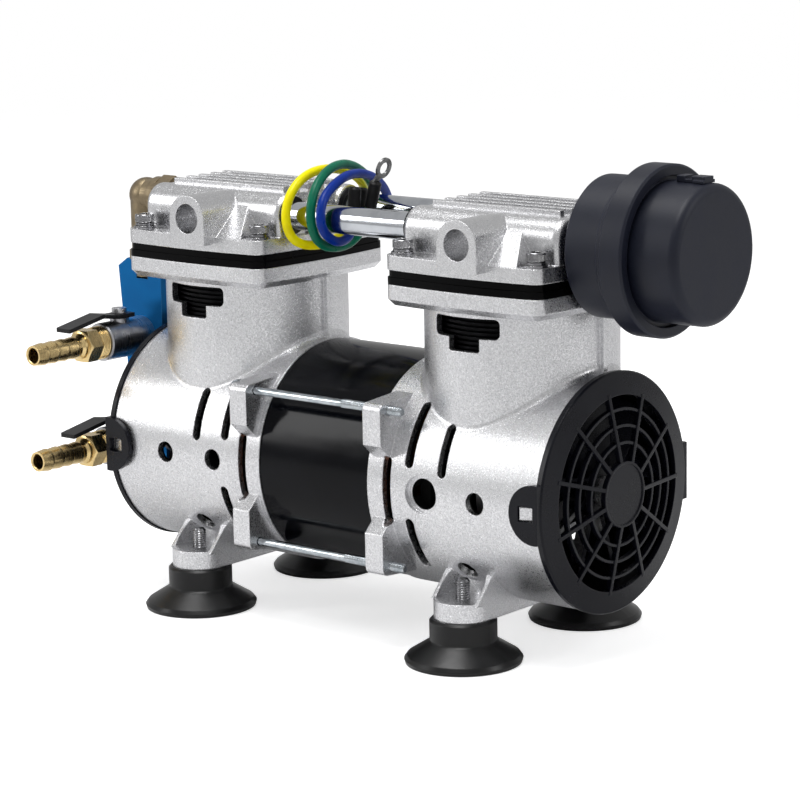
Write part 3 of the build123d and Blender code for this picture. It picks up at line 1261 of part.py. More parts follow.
if __name__ == "__main__":
    os.makedirs("parts", exist_ok=True)
    for lead_name in LEADS:
        wire = lead_path(lead_name)
        volume = lead(lead_name).volume / (math.pi * WIRE_R ** 2 * wire.length)
        smallest = min(route_radii(lead_points(lead_name)))
        print(f"{lead_name} lead: length {wire.length:.1f}, smallest radius {smallest:.1f}")
        print(f"{lead_name} lead: volume share {volume:.4f}")
    for node_name, shape in build_nodes().items():
        export_step(shape, f"parts/{node_name}.step")
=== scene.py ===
"""Twin-cylinder pond air pump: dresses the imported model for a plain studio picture.

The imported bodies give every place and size. This file adds the camera, the lamps, the floor, the
lead wires, the turned and threaded small parts, and a procedural finish for each piece.
Everything is in metres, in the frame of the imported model.
"""

import logging
import math
from abc import ABC, abstractmethod
from collections.abc import Sequence
from dataclasses import dataclass, field
from enum import Enum
from typing import Union

import bpy
from mathutils import Matrix, Vector


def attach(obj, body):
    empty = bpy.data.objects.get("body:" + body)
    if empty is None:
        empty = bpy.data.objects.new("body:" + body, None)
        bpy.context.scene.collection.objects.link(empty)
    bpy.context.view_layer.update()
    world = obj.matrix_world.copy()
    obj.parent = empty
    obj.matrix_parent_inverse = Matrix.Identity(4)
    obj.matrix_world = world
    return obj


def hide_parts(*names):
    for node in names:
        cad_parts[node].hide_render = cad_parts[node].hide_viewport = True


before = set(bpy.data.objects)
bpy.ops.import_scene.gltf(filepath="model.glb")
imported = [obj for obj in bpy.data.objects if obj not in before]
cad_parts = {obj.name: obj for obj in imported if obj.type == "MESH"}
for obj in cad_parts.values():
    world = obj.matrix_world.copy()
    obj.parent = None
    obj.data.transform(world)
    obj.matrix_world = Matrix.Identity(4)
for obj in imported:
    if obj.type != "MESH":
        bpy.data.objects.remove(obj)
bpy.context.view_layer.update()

LOG = logging.getLogger("pump")
MM = 0.001
AXIS_Z = 68.4 * MM
CYLINDER_X = 73.75 * MM
SMOOTH_UP_TO = math.radians(35)
WELD = 1e-6
FLUTE_EDGE = 0.02 * MM
# The most that a side face's normal may point up or down.
UPRIGHT = 0.1
# The face that looks this way is sunk in every run, whatever the order of the mesh.
FIRST_FLUTE = Vector((1.0, 0.02, 0.0))
BEVEL_SAMPLES = 4
WHITE = (1.0, 1.0, 1.0)
# Shares of a thread's pitch: where the root ends, and where the crest begins and ends.
ROOT_END, CREST_FROM, CREST_TO = 0.12, 0.45, 0.62

Colour = tuple[float, float, float]
Place = tuple[float, float, float]
Ring = tuple[float, float]
Piece = bpy.types.Object
Material = bpy.types.Material
Value = Union["Wire", float, int, tuple]


def stand(name: str, data: bpy.types.ID) -> Piece:
    """Adds an object with this data to the scene.

    Args:
        name: The object's name.
        data: Its mesh, curve, light or camera.

    Returns:
        The object, at the origin.
    """
    made = bpy.data.objects.new(name, data)
    bpy.context.scene.collection.objects.link(made)
    return made


class Axis(Enum):
    """The directions that a turned piece can point along, as the turn that takes +Z there."""

    UP = (0.0, 0.0, 0.0)
    RIGHT = (0.0, math.pi / 2, 0.0)
    FRONT = (math.pi / 2, 0.0, 0.0)


class Wire:
    """A shader socket that can be used in a sum, as a number can."""

    def __init__(self, graph: "Graph", socket: bpy.types.NodeSocket) -> None:
        """Keeps the socket and the graph that it belongs to."""
        self.graph = graph
        self.socket = socket

    def __add__(self, other: Value) -> "Wire":
        """Adds."""
        return self.graph.maths("ADD", self, other)

    def __mul__(self, other: Value) -> "Wire":
        """Multiplies."""
        return self.graph.maths("MULTIPLY", self, other)

    def __sub__(self, other: Value) -> "Wire":
        """Takes away."""
        return self.graph.maths("SUBTRACT", self, other)

    def __rsub__(self, other: Value) -> "Wire":
        """Is taken away from."""
        return self.graph.maths("SUBTRACT", other, self)

    def __gt__(self, other: Value) -> "Wire":
        """Is 1 where the left side is larger."""
        return self.graph.maths("GREATER_THAN", self, other)

    def __lt__(self, other: Value) -> "Wire":
        """Is 1 where the left side is smaller."""
        return self.graph.maths("LESS_THAN", self, other)


class Graph:
    """The nodes of one material or of the world, made from Python expressions."""

    def __init__(self, owner: Material | bpy.types.World) -> None:
        """Empties the owner's node tree.

        Args:
            owner: The material or the world that the nodes belong to.
        """
        owner.use_nodes = True
        self.owner = owner
        self.tree = owner.node_tree
        self.tree.nodes.clear()
        self._coords: Wire | None = None

    def node(self, kind: str, settings: dict | None = None, sockets: dict | None = None,
             out: int | str = 0) -> Wire:
        """Adds one node.

        Args:
            kind: The node's type name.
            settings: Its settings, set before its sockets.
            sockets: A value or a wire for each named or numbered input.
            out: The output that is wanted.

        Returns:
            The wanted output.
        """
        made = self.tree.nodes.new(kind)
        for key, value in (settings or {}).items():
            setattr(made, key, value)
        for key, value in (sockets or {}).items():
            self._feed(made.inputs[key], value)
        return Wire(self, made.outputs[out])

    def _feed(self, socket: bpy.types.NodeSocket, value: Value) -> None:
        """Links a wire to an input, or sets the input's own value.

        Args:
            socket: The input.
            value: The wire, number, vector or colour that it gets.
        """
        if isinstance(value, Wire):
            self.tree.links.new(value.socket, socket)
        elif isinstance(value, tuple) and len(value) == 3 and socket.type == "RGBA":
            socket.default_value = (*value, 1.0)
        else:
            socket.default_value = value

    def maths(self, operation: str, *values: Value) -> Wire:
        """One Math node."""
        return self.node("ShaderNodeMath", {"operation": operation}, dict(enumerate(values)))

    def clamp(self, value: Value) -> Wire:
        """The value, kept from 0 to 1."""
        return self.node("ShaderNodeClamp", None, {0: value})

    def coords(self) -> Wire:
        """The place on the object, in metres.

        Returns:
            The coordinates, from one node that all callers share.
        """
        if self._coords is None:
            self._coords = self.node("ShaderNodeTexCoord", None, None, "Object")
        return self._coords

    def stretched(self, stretch: Place) -> Wire:
        """The place on the object, stretched along its axes."""
        sockets = {"Vector": self.coords(), "Scale": stretch}
        return self.node("ShaderNodeMapping", {"vector_type": "POINT"}, sockets)

    def noise(self, scale: float, detail: float = 2.0, rough: float = 0.5,
              where: Wire | None = None) -> Wire:
        """Smooth noise from 0 to 1.

        Args:
            scale: Features to the metre.
            detail: Octaves.
            rough: How strong the finer octaves are.
            where: The coordinates, or None for the object's own.

        Returns:
            The noise.
        """
        sockets = {"Vector": where or self.coords(), "Scale": scale, "Detail": detail,
                   "Roughness": rough}
        return self.node("ShaderNodeTexNoise", {"noise_dimensions": "3D"}, sockets)

    def cells(self, scale: float, out: str = "Distance") -> Wire:
        """Voronoi cells: the distance to a cell's middle, or its own random colour."""
        sockets = {"Vector": self.coords(), "Scale": scale}
        return self.node("ShaderNodeTexVoronoi", {"feature": "F1"}, sockets, out)

    def split(self, vector: Wire) -> tuple[Wire, Wire, Wire]:
        """The three parts of a vector.

        Args:
            vector: A vector or a colour.

        Returns:
            Its parts in order.
        """
        first = self.node("ShaderNodeSeparateXYZ", None, {0: vector})
        outputs = first.socket.node.outputs
        return Wire(self, outputs[0]), Wire(self, outputs[1]), Wire(self, outputs[2])

    def spread(self, value: Value, low: float, high: float, new_low: float = 0.0,
               new_high: float = 1.0) -> Wire:
        """Takes a range of a value to another range, with soft ends.

        Args:
            value: The value.
            low: Where its range begins.
            high: Where its range ends.
            new_low: What the low end becomes.
            new_high: What the high end becomes.

        Returns:
            The new value, which never leaves the new range.
        """
        settings = {"interpolation_type": "SMOOTHSTEP", "clamp": True}
        return self.node("ShaderNodeMapRange", settings,
                         {0: value, 1: low, 2: high, 3: new_low, 4: new_high})

    def mix(self, share: Value, first: Value, second: Value) -> Wire:
        """Two colours, with a share of the second in the first."""
        return self.node("ShaderNodeMix", {"data_type": "RGBA"}, {0: share, 6: first, 7: second}, 2)

    def ray(self, kind: str) -> Wire:
        """1 where the light path is of a kind, such as Is Camera Ray."""
        return self.node("ShaderNodeLightPath", None, None, kind)

    def rounded(self, radius: float) -> Wire:
        """The surface normal with its edges rounded to a radius."""
        return self.node("ShaderNodeBevel", {"samples": BEVEL_SAMPLES}, {"Radius": radius})

    def edges(self, radius: float, gain: float) -> Wire:
        """A mask of the object's sharp edges.

        Args:
            radius: How far from an edge the mask reaches, in metres.
            gain: How fast it rises to 1.

        Returns:
            The mask, 1 on a sharp edge and 0 on a flat face.
        """
        true = self.node("ShaderNodeNewGeometry", None, None, "Normal")
        near = self.node("ShaderNodeVectorMath", {"operation": "DOT_PRODUCT"},
                         {0: self.rounded(radius), 1: true}, "Value")
        return self.clamp((1.0 - near) * gain)

    def bump(self, height: Wire, depth: float, strength: float,
             under: Wire | None = None) -> Wire:
        """A normal from a height.

        Args:
            height: The height, from 0 to 1.
            depth: How deep a height of 1 is, in metres.
            strength: How much of it shows.
            under: A normal that lies under this one.

        Returns:
            The normal.
        """
        sockets = {"Height": height, "Distance": depth, "Strength": strength}
        if under is not None:
            sockets["Normal"] = under
        return self.node("ShaderNodeBump", None, sockets)

    def surface(self, **sockets: Value) -> Material:
        """Ends the graph in one principled shader.

        Args:
            **sockets: Values for the shader's inputs, with _ for a space.

        Returns:
            The finished material.
        """
        named = {key.replace("_", " "): value for key, value in sockets.items()}
        self.end(self.node("ShaderNodeBsdfPrincipled", None, named))
        return self.owner

    def end(self, shader: Wire) -> None:
        """Links a shader to the owner's output.

        Args:
            shader: The shader that ends the graph.
        """
        kind = "World" if isinstance(self.owner, bpy.types.World) else "Material"
        output = self.tree.nodes.new("ShaderNodeOutput" + kind)
        self.tree.links.new(shader.socket, output.inputs["Surface"])


class Finish(ABC):
    """One finish of the pump, which makes its material once."""

    made: dict[str, Material] = {}
    name: str

    def material(self) -> Material:
        """The material of this finish.

        Returns:
            The one material that all pieces with this finish share.
        """
        if self.name not in Finish.made:
            Finish.made[self.name] = self.shade(Graph(bpy.data.materials.new(self.name)))
        return Finish.made[self.name]

    @abstractmethod
    def shade(self, g: Graph) -> Material:
        """Builds the finish.

        Args:
            g: The material's graph.

        Returns:
            The finished material.
        """


@dataclass(frozen=True)
class CastAluminium(Finish):
    """Bead-blasted die casting: a fine silver grain that sparkles, brighter on worn edges."""

    name: str = "cast_aluminium"
    light: Colour = (0.88, 0.88, 0.895)
    dark: Colour = (0.44, 0.44, 0.455)
    rough: float = 0.29
    grain: float = 1500.0
    depth: float = 0.14 * MM
    edge_radius: float = 0.7 * MM
    bore: float = 0.0
    cylinder_bore: float = 0.0
    worn: Colour = (0.92, 0.92, 0.93)
    # Painted shade: the colour of the bores, nearly black as if in shadow.
    painted_hollow_shade: Colour = (0.012, 0.012, 0.012)

    def shade(self, g: Graph) -> Material:
        """Grain, sparkle, worn edges, slow cloudiness and painted shade in the hollow.

        Args:
            g: The material's graph.

        Returns:
            The finished material.
        """
        speck, _, _ = g.split(g.cells(self.grain * 1.7, out="Color"))
        fine = g.noise(self.grain, 3.0, 0.65)
        cloud = g.noise(26.0, 2.0)
        tone = g.clamp(speck * 0.35 + (fine - 0.5) * 1.6 + 0.35 + (cloud - 0.5) * 0.35)
        edges = g.edges(self.edge_radius, 2.2)
        base = g.mix(tone, self.dark, self.light)
        base = g.mix(edges * 0.6, base, self.worn)
        rough = g.spread(fine, 0.25, 0.75, self.rough + 0.10, self.rough - 0.08)
        height = fine * 0.65 + speck * 0.35
        normal = g.bump(height, self.depth, 0.6, g.rounded(self.edge_radius))
        if self.bore > 0.0:
            inside = self.inside(g)
            # Painted shade: the motor bore and the cylinder bores are coloured nearly black.
            base = g.mix(inside, base, self.painted_hollow_shade)
            rough = g.maths("MAXIMUM", rough, inside * 0.75)
        return g.surface(Base_Color=base, Metallic=1.0, Roughness=rough, Normal=normal)

    def inside(self, g: Graph) -> Wire:
        """A mask of the hollow of the casting, where shade is painted.

        Args:
            g: The material's graph.

        Returns:
            The mask, 1 in the motor bore and in the cylinder bore.
        """
        x, y, z = g.split(g.coords())
        round_motor = g.maths("SQRT", y * y + (z - AXIS_Z) * (z - AXIS_Z))
        over = g.maths("ABSOLUTE", x) - CYLINDER_X
        round_cylinder = g.maths("SQRT", y * y + over * over)
        low = round_motor < self.bore
        high = (round_cylinder < self.cylinder_bore) * (z > AXIS_Z)
        return g.clamp(low + high)


@dataclass(frozen=True)
class Machined(Finish):
    """Bright metal with fine turning or grinding lines."""

    name: str = "bright_steel"
    colour: Colour = (0.72, 0.72, 0.73)
    shade_to: Colour = (0.55, 0.55, 0.56)
    rough: float = 0.2
    line_scale: float = 6000.0
    stretch: Place = (1.0, 0.04, 0.04)
    depth: float = 0.01 * MM
    edge_radius: float = 0.25 * MM
    # How strong the painted highlight on sharp edges is.
    edge_highlight_gain: float = 0.5

    def shade(self, g: Graph) -> Material:
        """Lines along the work, slight stains and a painted highlight on sharp edges.

        Args:
            g: The material's graph.

        Returns:
            The finished material.
        """
        where = g.stretched(self.stretch)
        lines = g.noise(self.line_scale, 1.0, 0.5, where)
        stain = g.noise(240.0, 3.0)
        base = g.mix(g.spread(stain, 0.35, 0.7), self.colour, self.shade_to)
        # Painted highlight: sharp edges are mixed towards white.
        base = g.mix(g.edges(self.edge_radius, 2.0) * self.edge_highlight_gain, base, (0.95, 0.95, 0.95))
        rough = g.spread(lines + stain * 0.5, 0.4, 1.1, self.rough - 0.05, self.rough + 0.1)
        normal = g.bump(lines, self.depth, 0.3, g.rounded(self.edge_radius))
        return g.surface(Base_Color=base, Metallic=1.0, Roughness=rough, Normal=normal)


@dataclass(frozen=True)
class Moulded(Finish):
    """Moulded plastic or rubber: a fine texture and a soft sheen."""

    name: str = "black_plastic"
    colour: Colour = (0.003, 0.0032, 0.0060)
    pale: Colour = (0.008, 0.0086, 0.0145)
    rough: float = 0.27
    texture: float = 1500.0
    depth: float = 0.03 * MM
    edge_radius: float = 0.5 * MM
    sheen: float = 0.2
    edge_highlight_gain: float = 0.3

    def shade(self, g: Graph) -> Material:
        """A moulded skin, paler in cloudy patches, with a painted highlight on sharp edges.

        Args:
            g: The material's graph.

        Returns:
            The finished material.
        """
        skin = g.noise(self.texture, 2.0, 0.55)
        cloud = g.noise(45.0, 3.0, 0.6)
        tone = g.clamp((cloud - 0.35) * 0.8 + (skin - 0.5) * 0.3)
        base = g.mix(tone, self.colour, self.pale)
        # Painted highlight: sharp edges are mixed towards four times the pale colour.
        highlight_colour = tuple(4 * c for c in self.pale)
        base = g.mix(g.edges(self.edge_radius, 1.6) * self.edge_highlight_gain, base, highlight_colour)
        rough = g.spread(cloud + skin * 0.4, 0.4, 1.1, self.rough - 0.05, self.rough + 0.1)
        normal = g.bump(skin, self.depth, 0.35, g.rounded(self.edge_radius))
        return g.surface(Base_Color=base, Roughness=rough, Normal=normal,
                         Specular_IOR_Level=self.sheen)


@dataclass(frozen=True)
class Enamel(Finish):
    """Glossy enamel with a faint orange-peel."""

    name: str = "motor_black"
    colour: Colour = (0.001, 0.0012, 0.0022)
    pale: Colour = (0.003, 0.0034, 0.0052)
    rough: float = 0.1
    peel: float = 0.012 * MM
    sheen: float = 0.12

    def shade(self, g: Graph) -> Material:
        """Orange-peel and faint smears in the gloss.

        Args:
            g: The material's graph.

        Returns:
            The finished material.
        """
        peel = g.noise(260.0, 2.0, 0.4)
        smear = g.noise(60.0, 4.0, 0.65, g.stretched((0.35, 1.0, 1.0)))
        base = g.mix(g.spread(smear, 0.4, 0.8), self.colour, self.pale)
        rough = g.spread(smear, 0.3, 0.75, self.rough, self.rough + 0.12)
        normal = g.bump(peel, self.peel, 0.5, g.rounded(0.3 * MM))
        return g.surface(Base_Color=base, Roughness=rough, Normal=normal,
                         Specular_IOR_Level=self.sheen)


@dataclass(frozen=True)
class Polished(Finish):
    """Polished plate on a drawn tube, with faint lines along it."""

    name: str = "tube_chrome"
    colour: Colour = (0.56, 0.58, 0.61)
    worn: Colour = (0.42, 0.44, 0.47)
    rough: float = 0.09

    def shade(self, g: Graph) -> Material:
        """Fine lines along the tube and slight hazing.

        Args:
            g: The material's graph.

        Returns:
            The finished material.
        """
        lines = g.noise(2600.0, 2.0, 0.5, g.stretched((0.02, 1.0, 1.0)))
        haze = g.noise(90.0, 3.0)
        base = g.mix(g.spread(haze, 0.4, 0.75), self.colour, self.worn)
        rough = g.spread(lines * 0.5 + haze * 0.5, 0.3, 0.7, self.rough - 0.03, self.rough + 0.06)
        normal = g.bump(lines, 0.006 * MM, 0.25)
        return g.surface(Base_Color=base, Metallic=1.0, Roughness=rough, Normal=normal)


@dataclass(frozen=True)
class Brass(Finish):
    """Turned brass with patches of tarnish."""

    name: str = "brass_bright"
    colour: Colour = (0.76, 0.57, 0.27)
    tarnish: Colour = (0.46, 0.31, 0.13)
    rough: float = 0.2
    tarnish_from: float = 0.5
    edge_highlight_gain: float = 0.45

    def shade(self, g: Graph) -> Material:
        """Turning rings, tarnish and a painted highlight on sharp edges.

        Args:
            g: The material's graph.

        Returns:
            The finished material.
        """
        rings = g.noise(5200.0, 1.0, 0.5, g.stretched((0.02, 1.0, 0.02)))
        old = g.noise(170.0, 4.0, 0.6)
        share = g.spread(old, self.tarnish_from, self.tarnish_from + 0.3)
        base = g.mix(share * 0.45, self.colour, self.tarnish)
        # Painted highlight: sharp edges are mixed towards pale brass.
        base = g.mix(g.edges(0.15 * MM, 2.0) * self.edge_highlight_gain, base, (0.98, 0.84, 0.5))
        rough = g.spread(rings * 0.5 + old * 0.5, 0.3, 0.75, self.rough - 0.04, self.rough + 0.16)
        normal = g.bump(rings, 0.004 * MM, 0.25, g.rounded(0.12 * MM))
        return g.surface(Base_Color=base, Metallic=1.0, Roughness=rough, Normal=normal)


@dataclass(frozen=True)
class Anodised(Finish):
    """Coloured anodising over a fine milled face."""

    name: str = "blue_anodised"
    colour: Colour = (0.0, 0.125, 0.36)
    deep: Colour = (0.0, 0.105, 0.31)
    rough: float = 0.36

    def shade(self, g: Graph) -> Material:
        """Milling lines, depth of colour and pale worn edges.

        Args:
            g: The material's graph.

        Returns:
            The finished material.
        """
        lines = g.noise(5000.0, 1.0, 0.5, g.stretched((0.05, 0.05, 1.0)))
        cloud = g.noise(60.0, 3.0)
        base = g.mix(g.spread(cloud, 0.3, 0.75), self.colour, self.deep)
        base = g.mix(g.edges(0.4 * MM, 1.8) * 0.4, base, (0.25, 0.55, 0.85))
        rough = g.spread(lines, 0.3, 0.7, self.rough - 0.05, self.rough + 0.1)
        normal = g.bump(lines, 0.006 * MM, 0.2, g.rounded(0.4 * MM))
        return g.surface(Base_Color=base, Metallic=0.85, Roughness=rough, Normal=normal)


@dataclass(frozen=True)
class Insulation(Finish):
    """Soft plastic insulation of a lead wire."""

    name: str = "wire_yellow"
    colour: Colour = (0.97, 0.87, 0.0)
    deep: Colour = (0.88, 0.74, 0.0)
    rough: float = 0.32

    def shade(self, g: Graph) -> Material:
        """A faintly uneven skin and handling haze.

        Args:
            g: The material's graph.

        Returns:
            The finished material.
        """
        haze = g.noise(140.0, 3.0, 0.6)
        skin = g.noise(900.0, 2.0)
        base = g.mix(g.spread(haze, 0.35, 0.75), self.colour, self.deep)
        rough = g.spread(haze, 0.3, 0.7, self.rough - 0.06, self.rough + 0.1)
        normal = g.bump(skin, 0.03 * MM, 0.3)
        return g.surface(Base_Color=base, Roughness=rough, Normal=normal, Specular_IOR_Level=0.18)


@dataclass(frozen=True)
class Foam(Finish):
    """Open foam of the filter element."""

    name: str = "foam"
    colour: Colour = (0.22, 0.22, 0.23)

    def shade(self, g: Graph) -> Material:
        """Round cells with darker walls between them.

        Args:
            g: The material's graph.

        Returns:
            The finished material.
        """
        holes = g.cells(1400.0)
        base = g.mix(g.spread(holes, 0.1, 0.6), self.colour, (0.05, 0.05, 0.05))
        normal = g.bump(holes, 0.3 * MM, 0.8)
        return g.surface(Base_Color=base, Roughness=0.95, Normal=normal)


FINISHES: dict[str, Finish] = {
    "cast_aluminium": CastAluminium(bore=46.2 * MM, cylinder_bore=36.9 * MM),
    "head_aluminium": CastAluminium("head_aluminium", (0.80, 0.80, 0.81), (0.44, 0.44, 0.455), 0.27,
                                    1500.0, 0.09 * MM, 0.6 * MM),
    "valve_steel": Machined("valve_steel", (0.42, 0.43, 0.44), (0.3, 0.3, 0.31), 0.25),
    "bright_steel": Machined("bright_steel", (0.31, 0.31, 0.32), (0.17, 0.17, 0.18), 0.15,
                             edge_highlight_gain=0.8),
    "zinc_plate": Machined("zinc_plate", (0.52, 0.555, 0.58), (0.33, 0.37, 0.40), 0.17, 3000.0,
                           (0.05, 1.0, 1.0), 0.004 * MM),
    "tube_chrome": Polished(),
    "motor_black": Enamel(),
    "core_steel": Machined("core_steel", (0.2, 0.2, 0.21), (0.1, 0.09, 0.09), 0.45, 2500.0,
                           (1.0, 0.02, 0.02), 0.05 * MM),
    "copper_wire": Machined("copper_wire", (0.33, 0.12, 0.05), (0.14, 0.05, 0.03), 0.34, 1200.0,
                            (1.0, 0.05, 0.05), 0.3 * MM),
    "crank_iron": Machined("crank_iron", (0.22, 0.22, 0.23), (0.14, 0.14, 0.15), 0.4, 3000.0),
    "rod_aluminium": CastAluminium("rod_aluminium", (0.66, 0.66, 0.67), (0.45, 0.45, 0.46), 0.4),
    # The cylinder sleeves are coloured almost black: painted shade for the inside of the casting
    # windows.
    "sleeve_aluminium": Machined("sleeve_aluminium", (0.011, 0.011, 0.012), (0.006, 0.006, 0.0065),
                                 0.5, 3000.0, (0.03, 0.03, 1.0), 0.01 * MM, edge_highlight_gain=0.02),
    "black_plastic": Moulded(),
    "seal_black": Enamel("seal_black", (0.0008, 0.0008, 0.001), (0.002, 0.002, 0.0024), 0.16,
                         sheen=0.06),
    # The filter's last number is a strong painted highlight on its sharp edges.
    "filter_plastic": Moulded("filter_plastic", (0.0065, 0.0080, 0.0165),
                              (0.0140, 0.0168, 0.0320), 0.44, 1100.0, 0.05 * MM, 0.7 * MM,
                              0.28, 0.6),
    "foam": Foam(),
    "black_rubber": Moulded("black_rubber", (0.0025, 0.0025, 0.0028), (0.0065, 0.0065, 0.007), 0.33,
                            800.0, 0.03 * MM, 0.6 * MM, 0.34),
    "cup_seal": Moulded("cup_seal", (0.3, 0.22, 0.12), (0.42, 0.33, 0.2), 0.5),
    "brass_bright": Brass(),
    "brass_dark": Brass("brass_dark", (0.27, 0.215, 0.135), (0.12, 0.094, 0.066), 0.4, 0.35, 0.2),
    "nickel": Machined("nickel", (0.5, 0.5, 0.51), (0.34, 0.34, 0.36), 0.3, 2500.0,
                       (0.05, 1.0, 0.05)),
    "blue_anodised": Anodised(),
    "lever_black": Moulded("lever_black", (0.014, 0.014, 0.015), (0.034, 0.034, 0.036), 0.4, 900.0),
    "wire_yellow": Insulation(),
    "wire_green": Insulation("wire_green", (0.0, 0.145, 0.078), (0.0, 0.11, 0.058)),
    "wire_blue": Insulation("wire_blue", (0.0, 0.028, 0.27), (0.0, 0.02, 0.21)),
    "shrink_black": Moulded("shrink_black", (0.005, 0.005, 0.0055), (0.014, 0.014, 0.015), 0.36,
                            700.0),
    "tinned_copper": Machined("tinned_copper", (0.2, 0.2, 0.2), (0.07, 0.07, 0.07), 0.28,
                              edge_highlight_gain=0.25),
}


class Assembly(ABC):
    """A group of pieces that is built and dressed together."""

    body: str = "frame"

    @abstractmethod
    def build(self) -> None:
        """Builds and dresses the group."""

    def dress(self, slot: str, *nodes: str) -> None:
        """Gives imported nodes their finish, without a change to their meshes.

        Args:
            slot: The finish.
            *nodes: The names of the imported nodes.
        """
        for name in nodes:
            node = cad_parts[name]
            node.data.materials.clear()
            node.data.materials.append(FINISHES[slot].material())
            LOG.info("dressed %s with %s", name, slot)

    def add(self, piece: Piece, slot: str, *replaced: str) -> Piece:
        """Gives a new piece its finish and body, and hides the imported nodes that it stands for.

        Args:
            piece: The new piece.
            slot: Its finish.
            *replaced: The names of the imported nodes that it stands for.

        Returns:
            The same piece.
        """
        piece.data.materials.clear()
        piece.data.materials.append(FINISHES[slot].material())
        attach(piece, self.body)
        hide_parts(*replaced)
        LOG.info("built %s", piece.name)
        return piece


@dataclass
class Studio:
    """The camera, the lamps, the pale floor and the white surround."""

    lens: float = 130.14
    azimuth: float = 40.23
    elevation: float = 11.17
    roll: float = -1.10
    target: Place = (7.46 * MM, 0.0, 93.92 * MM)
    distance: float = 1.23404
    sensor: float = 36.0
    far: float = 100.0
    floor_radius: float = 3.0
    floor_z: float = -0.0002
    fade_from: float = 0.5
    fade_to: float = 2.6
    floor_lift: float = 0.6
    soft_light: float = 0.40
    mirrored: float = 0.55

    def build(self) -> None:
        """Makes the whole studio."""
        self.camera()
        self.floor()
        self.world()
        self.lamps()
        bpy.context.scene.view_settings.view_transform = "Standard"

    def camera(self) -> None:
        """The camera at the photograph's angle."""
        az, el, roll = (math.radians(a) for a in (self.azimuth, self.elevation, self.roll))
        back = Vector((math.sin(az) * math.cos(el), -math.cos(az) * math.cos(el), math.sin(el)))
        side = Vector((math.cos(az), math.sin(az), 0.0))
        over = back.cross(side)
        right = math.cos(roll) * side + math.sin(roll) * over
        up = math.cos(roll) * over - math.sin(roll) * side
        data = bpy.data.cameras.new("camera")
        data.lens = self.lens
        data.sensor_width = self.sensor
        data.clip_end = self.far
        camera = stand("camera", data)
        turn = Matrix((right, up, back)).transposed().to_4x4()
        camera.matrix_world = Matrix.Translation(Vector(self.target) + back * self.distance) @ turn
        bpy.context.scene.camera = camera
        LOG.info("camera at %s", tuple(round(v, 4) for v in camera.matrix_world.translation))

    def floor(self) -> None:
        """A pale floor that fades out into the white surround."""
        bpy.ops.object.select_all(action="DESELECT")
        bpy.ops.mesh.primitive_circle_add(vertices=96, radius=self.floor_radius, fill_type="NGON",
                                          location=(0, 0, self.floor_z))
        plane = bpy.context.object
        plane.name = "floor"
        g = Graph(bpy.data.materials.new("floor"))
        away = g.node("ShaderNodeVectorMath", {"operation": "LENGTH"}, {0: g.coords()}, "Value")
        fade = g.spread(away, self.fade_from, self.fade_to)
        pale = g.node("ShaderNodeBsdfPrincipled", None, {
            "Base Color": (0.93, 0.93, 0.935), "Roughness": 0.6, "Specular IOR Level": 0.15})
        lift = g.node("ShaderNodeEmission", None, {
            0: WHITE, 1: g.ray("Is Camera Ray") * self.floor_lift})
        lit = g.node("ShaderNodeAddShader", None, {0: pale, 1: lift})
        clear = g.node("ShaderNodeBsdfTransparent")
        g.end(g.node("ShaderNodeMixShader", None, {0: fade, 1: lit, 2: clear}))
        plane.data.materials.append(g.owner)

    def world(self) -> None:
        """White to the camera, dimmer in reflections and dimmest as light."""
        world = bpy.data.worlds.new("surround")
        bpy.context.scene.world = world
        g = Graph(world)
        seen = g.maths("MAXIMUM", g.ray("Is Camera Ray"), g.ray("Is Transmission Ray"))
        plain = seen * (1.0 - self.soft_light) + self.soft_light
        strength = g.ray("Is Glossy Ray") * (self.mirrored - plain) + plain
        sockets = {"Color": WHITE, "Strength": strength}
        g.end(g.node("ShaderNodeBackground", None, sockets))

    def lamps(self) -> None:
        """Three soft boxes: above, front left and back right."""
        self.lamp("overhead", (-0.1, -0.2, 1.25), (0.0, 0.0, 0.08), (0.9, 0.5), 10.5)
        self.lamp("front_left", (-1.2, -1.1, 0.75), (0.0, 0.0, 0.1), (0.35, 0.9), 6.0)
        self.lamp("back_right", (1.3, 0.5, 0.9), (0.05, 0.0, 0.1), (0.3, 0.9), 4.5)

    @staticmethod
    def lamp(name: str, place: Place, aim: Place, size: tuple[float, float],
             power: float) -> None:
        """One soft box.

        Args:
            name: Its name.
            place: Where it stands.
            aim: The point that it faces.
            size: Its width and height.
            power: Its power in watts.
        """
        data = bpy.data.lights.new(name, "AREA")
        data.shape = "RECTANGLE"
        data.size, data.size_y = size
        data.energy = power
        lamp = stand(name, data)
        lamp.location = place
        lamp.rotation_euler = (Vector(aim) - Vector(place)).to_track_quat("-Z", "Y").to_euler()


